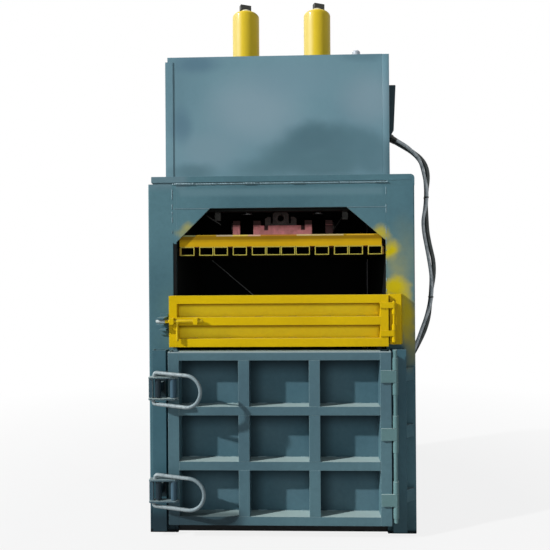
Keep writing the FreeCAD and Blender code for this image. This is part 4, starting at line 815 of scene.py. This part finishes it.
# stitch welds on the main door, at the foot of each pocket: shares of its width where they start
doorStitches = {"shares": (0.12, 0.56, 0.86), "inset": 1, "length": 50, "radius": 2.8}
work = bmesh.new()
for column in range(3):
    x = doorGrid["left"] + doorGrid["stile"] + column * (pocketWidth + doorGrid["stile"])
    for row in range(3):
        z = doorGrid["low"] + doorGrid["rail"] + row * (pocketHeight + doorGrid["rail"])
        for share in doorStitches["shares"]:
            start = at(x + share * pocketWidth, doorGrid["skin"] - doorStitches["inset"],
                       z + doorStitches["inset"])
            weldBead(work, start, start + Vector((doorStitches["length"] / 1000, 0, 0)),
                     doorStitches["radius"])
addPiece("main_door_welds", work, weldMetal, "main_door", smooth=50)

# stitch welds along the feed door's rails
feedStitches = {
    "levels": (1099, 1218.5), "starts": (-520, -330, -150, 40, 230, 420), "behind": -9, "length": 50,
    "radius": 3.5,
}
work = bmesh.new()
for level in feedStitches["levels"]:
    for x in feedStitches["starts"]:
        start = at(x, feedStitches["behind"], level)
        weldBead(work, start, start + Vector((feedStitches["length"] / 1000, 0, 0)), feedStitches["radius"])
addPiece("feed_door_welds", work, yellowWeld, "feed_door", smooth=50)
print("welds laid")

# plain pale floor; the camera sees it nearly white, with the object's shadow left on it
floor = {
    "reach": 60,                # metres from the middle
    "tones": ("a8a8a8", "b2b2b2"),
    "whiteNear": 0.85,          # share of white beside the object
    "turnsWhite": (1.5, 5.0),   # metres from the middle
}
work = bmesh.new()
bmesh.ops.create_grid(work, x_segments=1, y_segments=1, size=floor["reach"])
mesh = bpy.data.meshes.new("floor")
work.to_mesh(mesh)
work.free()
floorPiece = bpy.data.objects.new("floor", mesh)
collection.objects.link(floorPiece)
floorMaterial, tree, shader = newMaterial("pale_floor", 0.9, specular=0.1)
spot = addNode(tree, "TexCoord").outputs["Object"]
grain = addNode(tree, "TexNoise", {"Vector": spot, "Scale": 3.0})
deep, pale = (colour(tone) for tone in floor["tones"])
tone = addNode(tree, "Mix", {0: grain.outputs["Fac"], 6: deep, 7: pale}, data_type="RGBA").outputs[2]
tree.links.new(tone, shader.inputs["Base Color"])
white = addNode(tree, "Emission", {"Color": (1, 1, 1, 1), "Strength": 1.0})
path = addNode(tree, "LightPath")
away = addNode(tree, "VectorMath", {0: spot}, operation="LENGTH").outputs["Value"]
nearEnd, farEnd = floor["turnsWhite"]
away = addNode(tree, "MapRange", {"Value": away, "From Min": nearEnd, "From Max": farEnd,
                                  "To Min": floor["whiteNear"], "To Max": 1.0})
seen = addNode(tree, "Math", {0: path.outputs["Is Camera Ray"], 1: away.outputs["Result"]},
               operation="MULTIPLY")
both = addNode(tree, "MixShader", {0: seen.outputs[0], 1: shader.outputs[0], 2: white.outputs[0]})
tree.links.new(both.outputs[0], tree.nodes["Material Output"].inputs["Surface"])
floorPiece.data.materials.append(floorMaterial)

# soft light all round, stronger from behind; white where the camera or a reflection sees it
sky = {
    "front": (0.19, 0.2, 0.22, 1), "back": (0.5, 0.51, 0.53, 1),
    "between": (-0.1, 0.5),     # part of the way from the front, -1, to the back, 1
}
world = bpy.data.worlds.new("studio")
bpy.context.scene.world = world
world.use_nodes = True
tree = world.node_tree
path = addNode(tree, "LightPath")
bright = addNode(tree, "Math", {0: path.outputs["Is Camera Ray"], 1: path.outputs["Is Glossy Ray"]},
                 operation="ADD")
bright = addNode(tree, "Math", {0: bright.outputs[0], 1: path.outputs["Is Transmission Ray"]},
                 operation="ADD", use_clamp=True)
direction = addNode(tree, "SeparateXYZ", {0: addNode(tree, "TexCoord").outputs["Generated"]})
behind = addNode(tree, "MapRange", {"Value": direction.outputs["Y"], "From Min": sky["between"][0],
                                    "From Max": sky["between"][1]})
glow = addNode(tree, "Mix", {0: behind.outputs["Result"], 6: sky["front"], 7: sky["back"]},
               data_type="RGBA").outputs[2]
glow = addNode(tree, "Mix", {0: bright.outputs[0], 6: glow, 7: (1, 1, 1, 1)}, data_type="RGBA").outputs[2]
tree.links.new(glow, tree.nodes["Background"].inputs["Color"])


def addLamp(name, kind, energy, place, heading):
    lampData = bpy.data.lights.new(name, kind)
    lampData.energy = energy
    lamp = bpy.data.objects.new(name, lampData)
    lamp.location = place
    lamp.rotation_mode = "QUATERNION"
    lamp.rotation_quaternion = heading.to_track_quat("-Z", "Y")
    collection.objects.link(lamp)
    return lampData


# a broad fill from the front, a small lamp behind the header that lights the rod mounts, and the sun
fill = {"energy": 42, "size": 3.0, "place": Vector((0.6, -6.4, 2.0)), "aim": at(0, 0, 1400)}
notchLamp = {"energy": 1.0, "size": (0.8, 0.05), "place": at(0, 60, 1940), "aim": at(0, 420, 1730)}
sun = {"energy": 4.5, "width": 1.6, "travel": Vector((2.13, 1, -1.45))}
fillData = addLamp("fill", "AREA", fill["energy"], fill["place"], fill["aim"] - fill["place"])
fillData.size = fill["size"]
notchData = addLamp("notch_lamp", "AREA", notchLamp["energy"], notchLamp["place"],
                    notchLamp["aim"] - notchLamp["place"])
notchData.shape = "RECTANGLE"
notchData.size, notchData.size_y = notchLamp["size"]
sunData = addLamp("sun", "SUN", sun["energy"], Vector(), sun["travel"])
sunData.angle = math.radians(sun["width"])
print("light set")
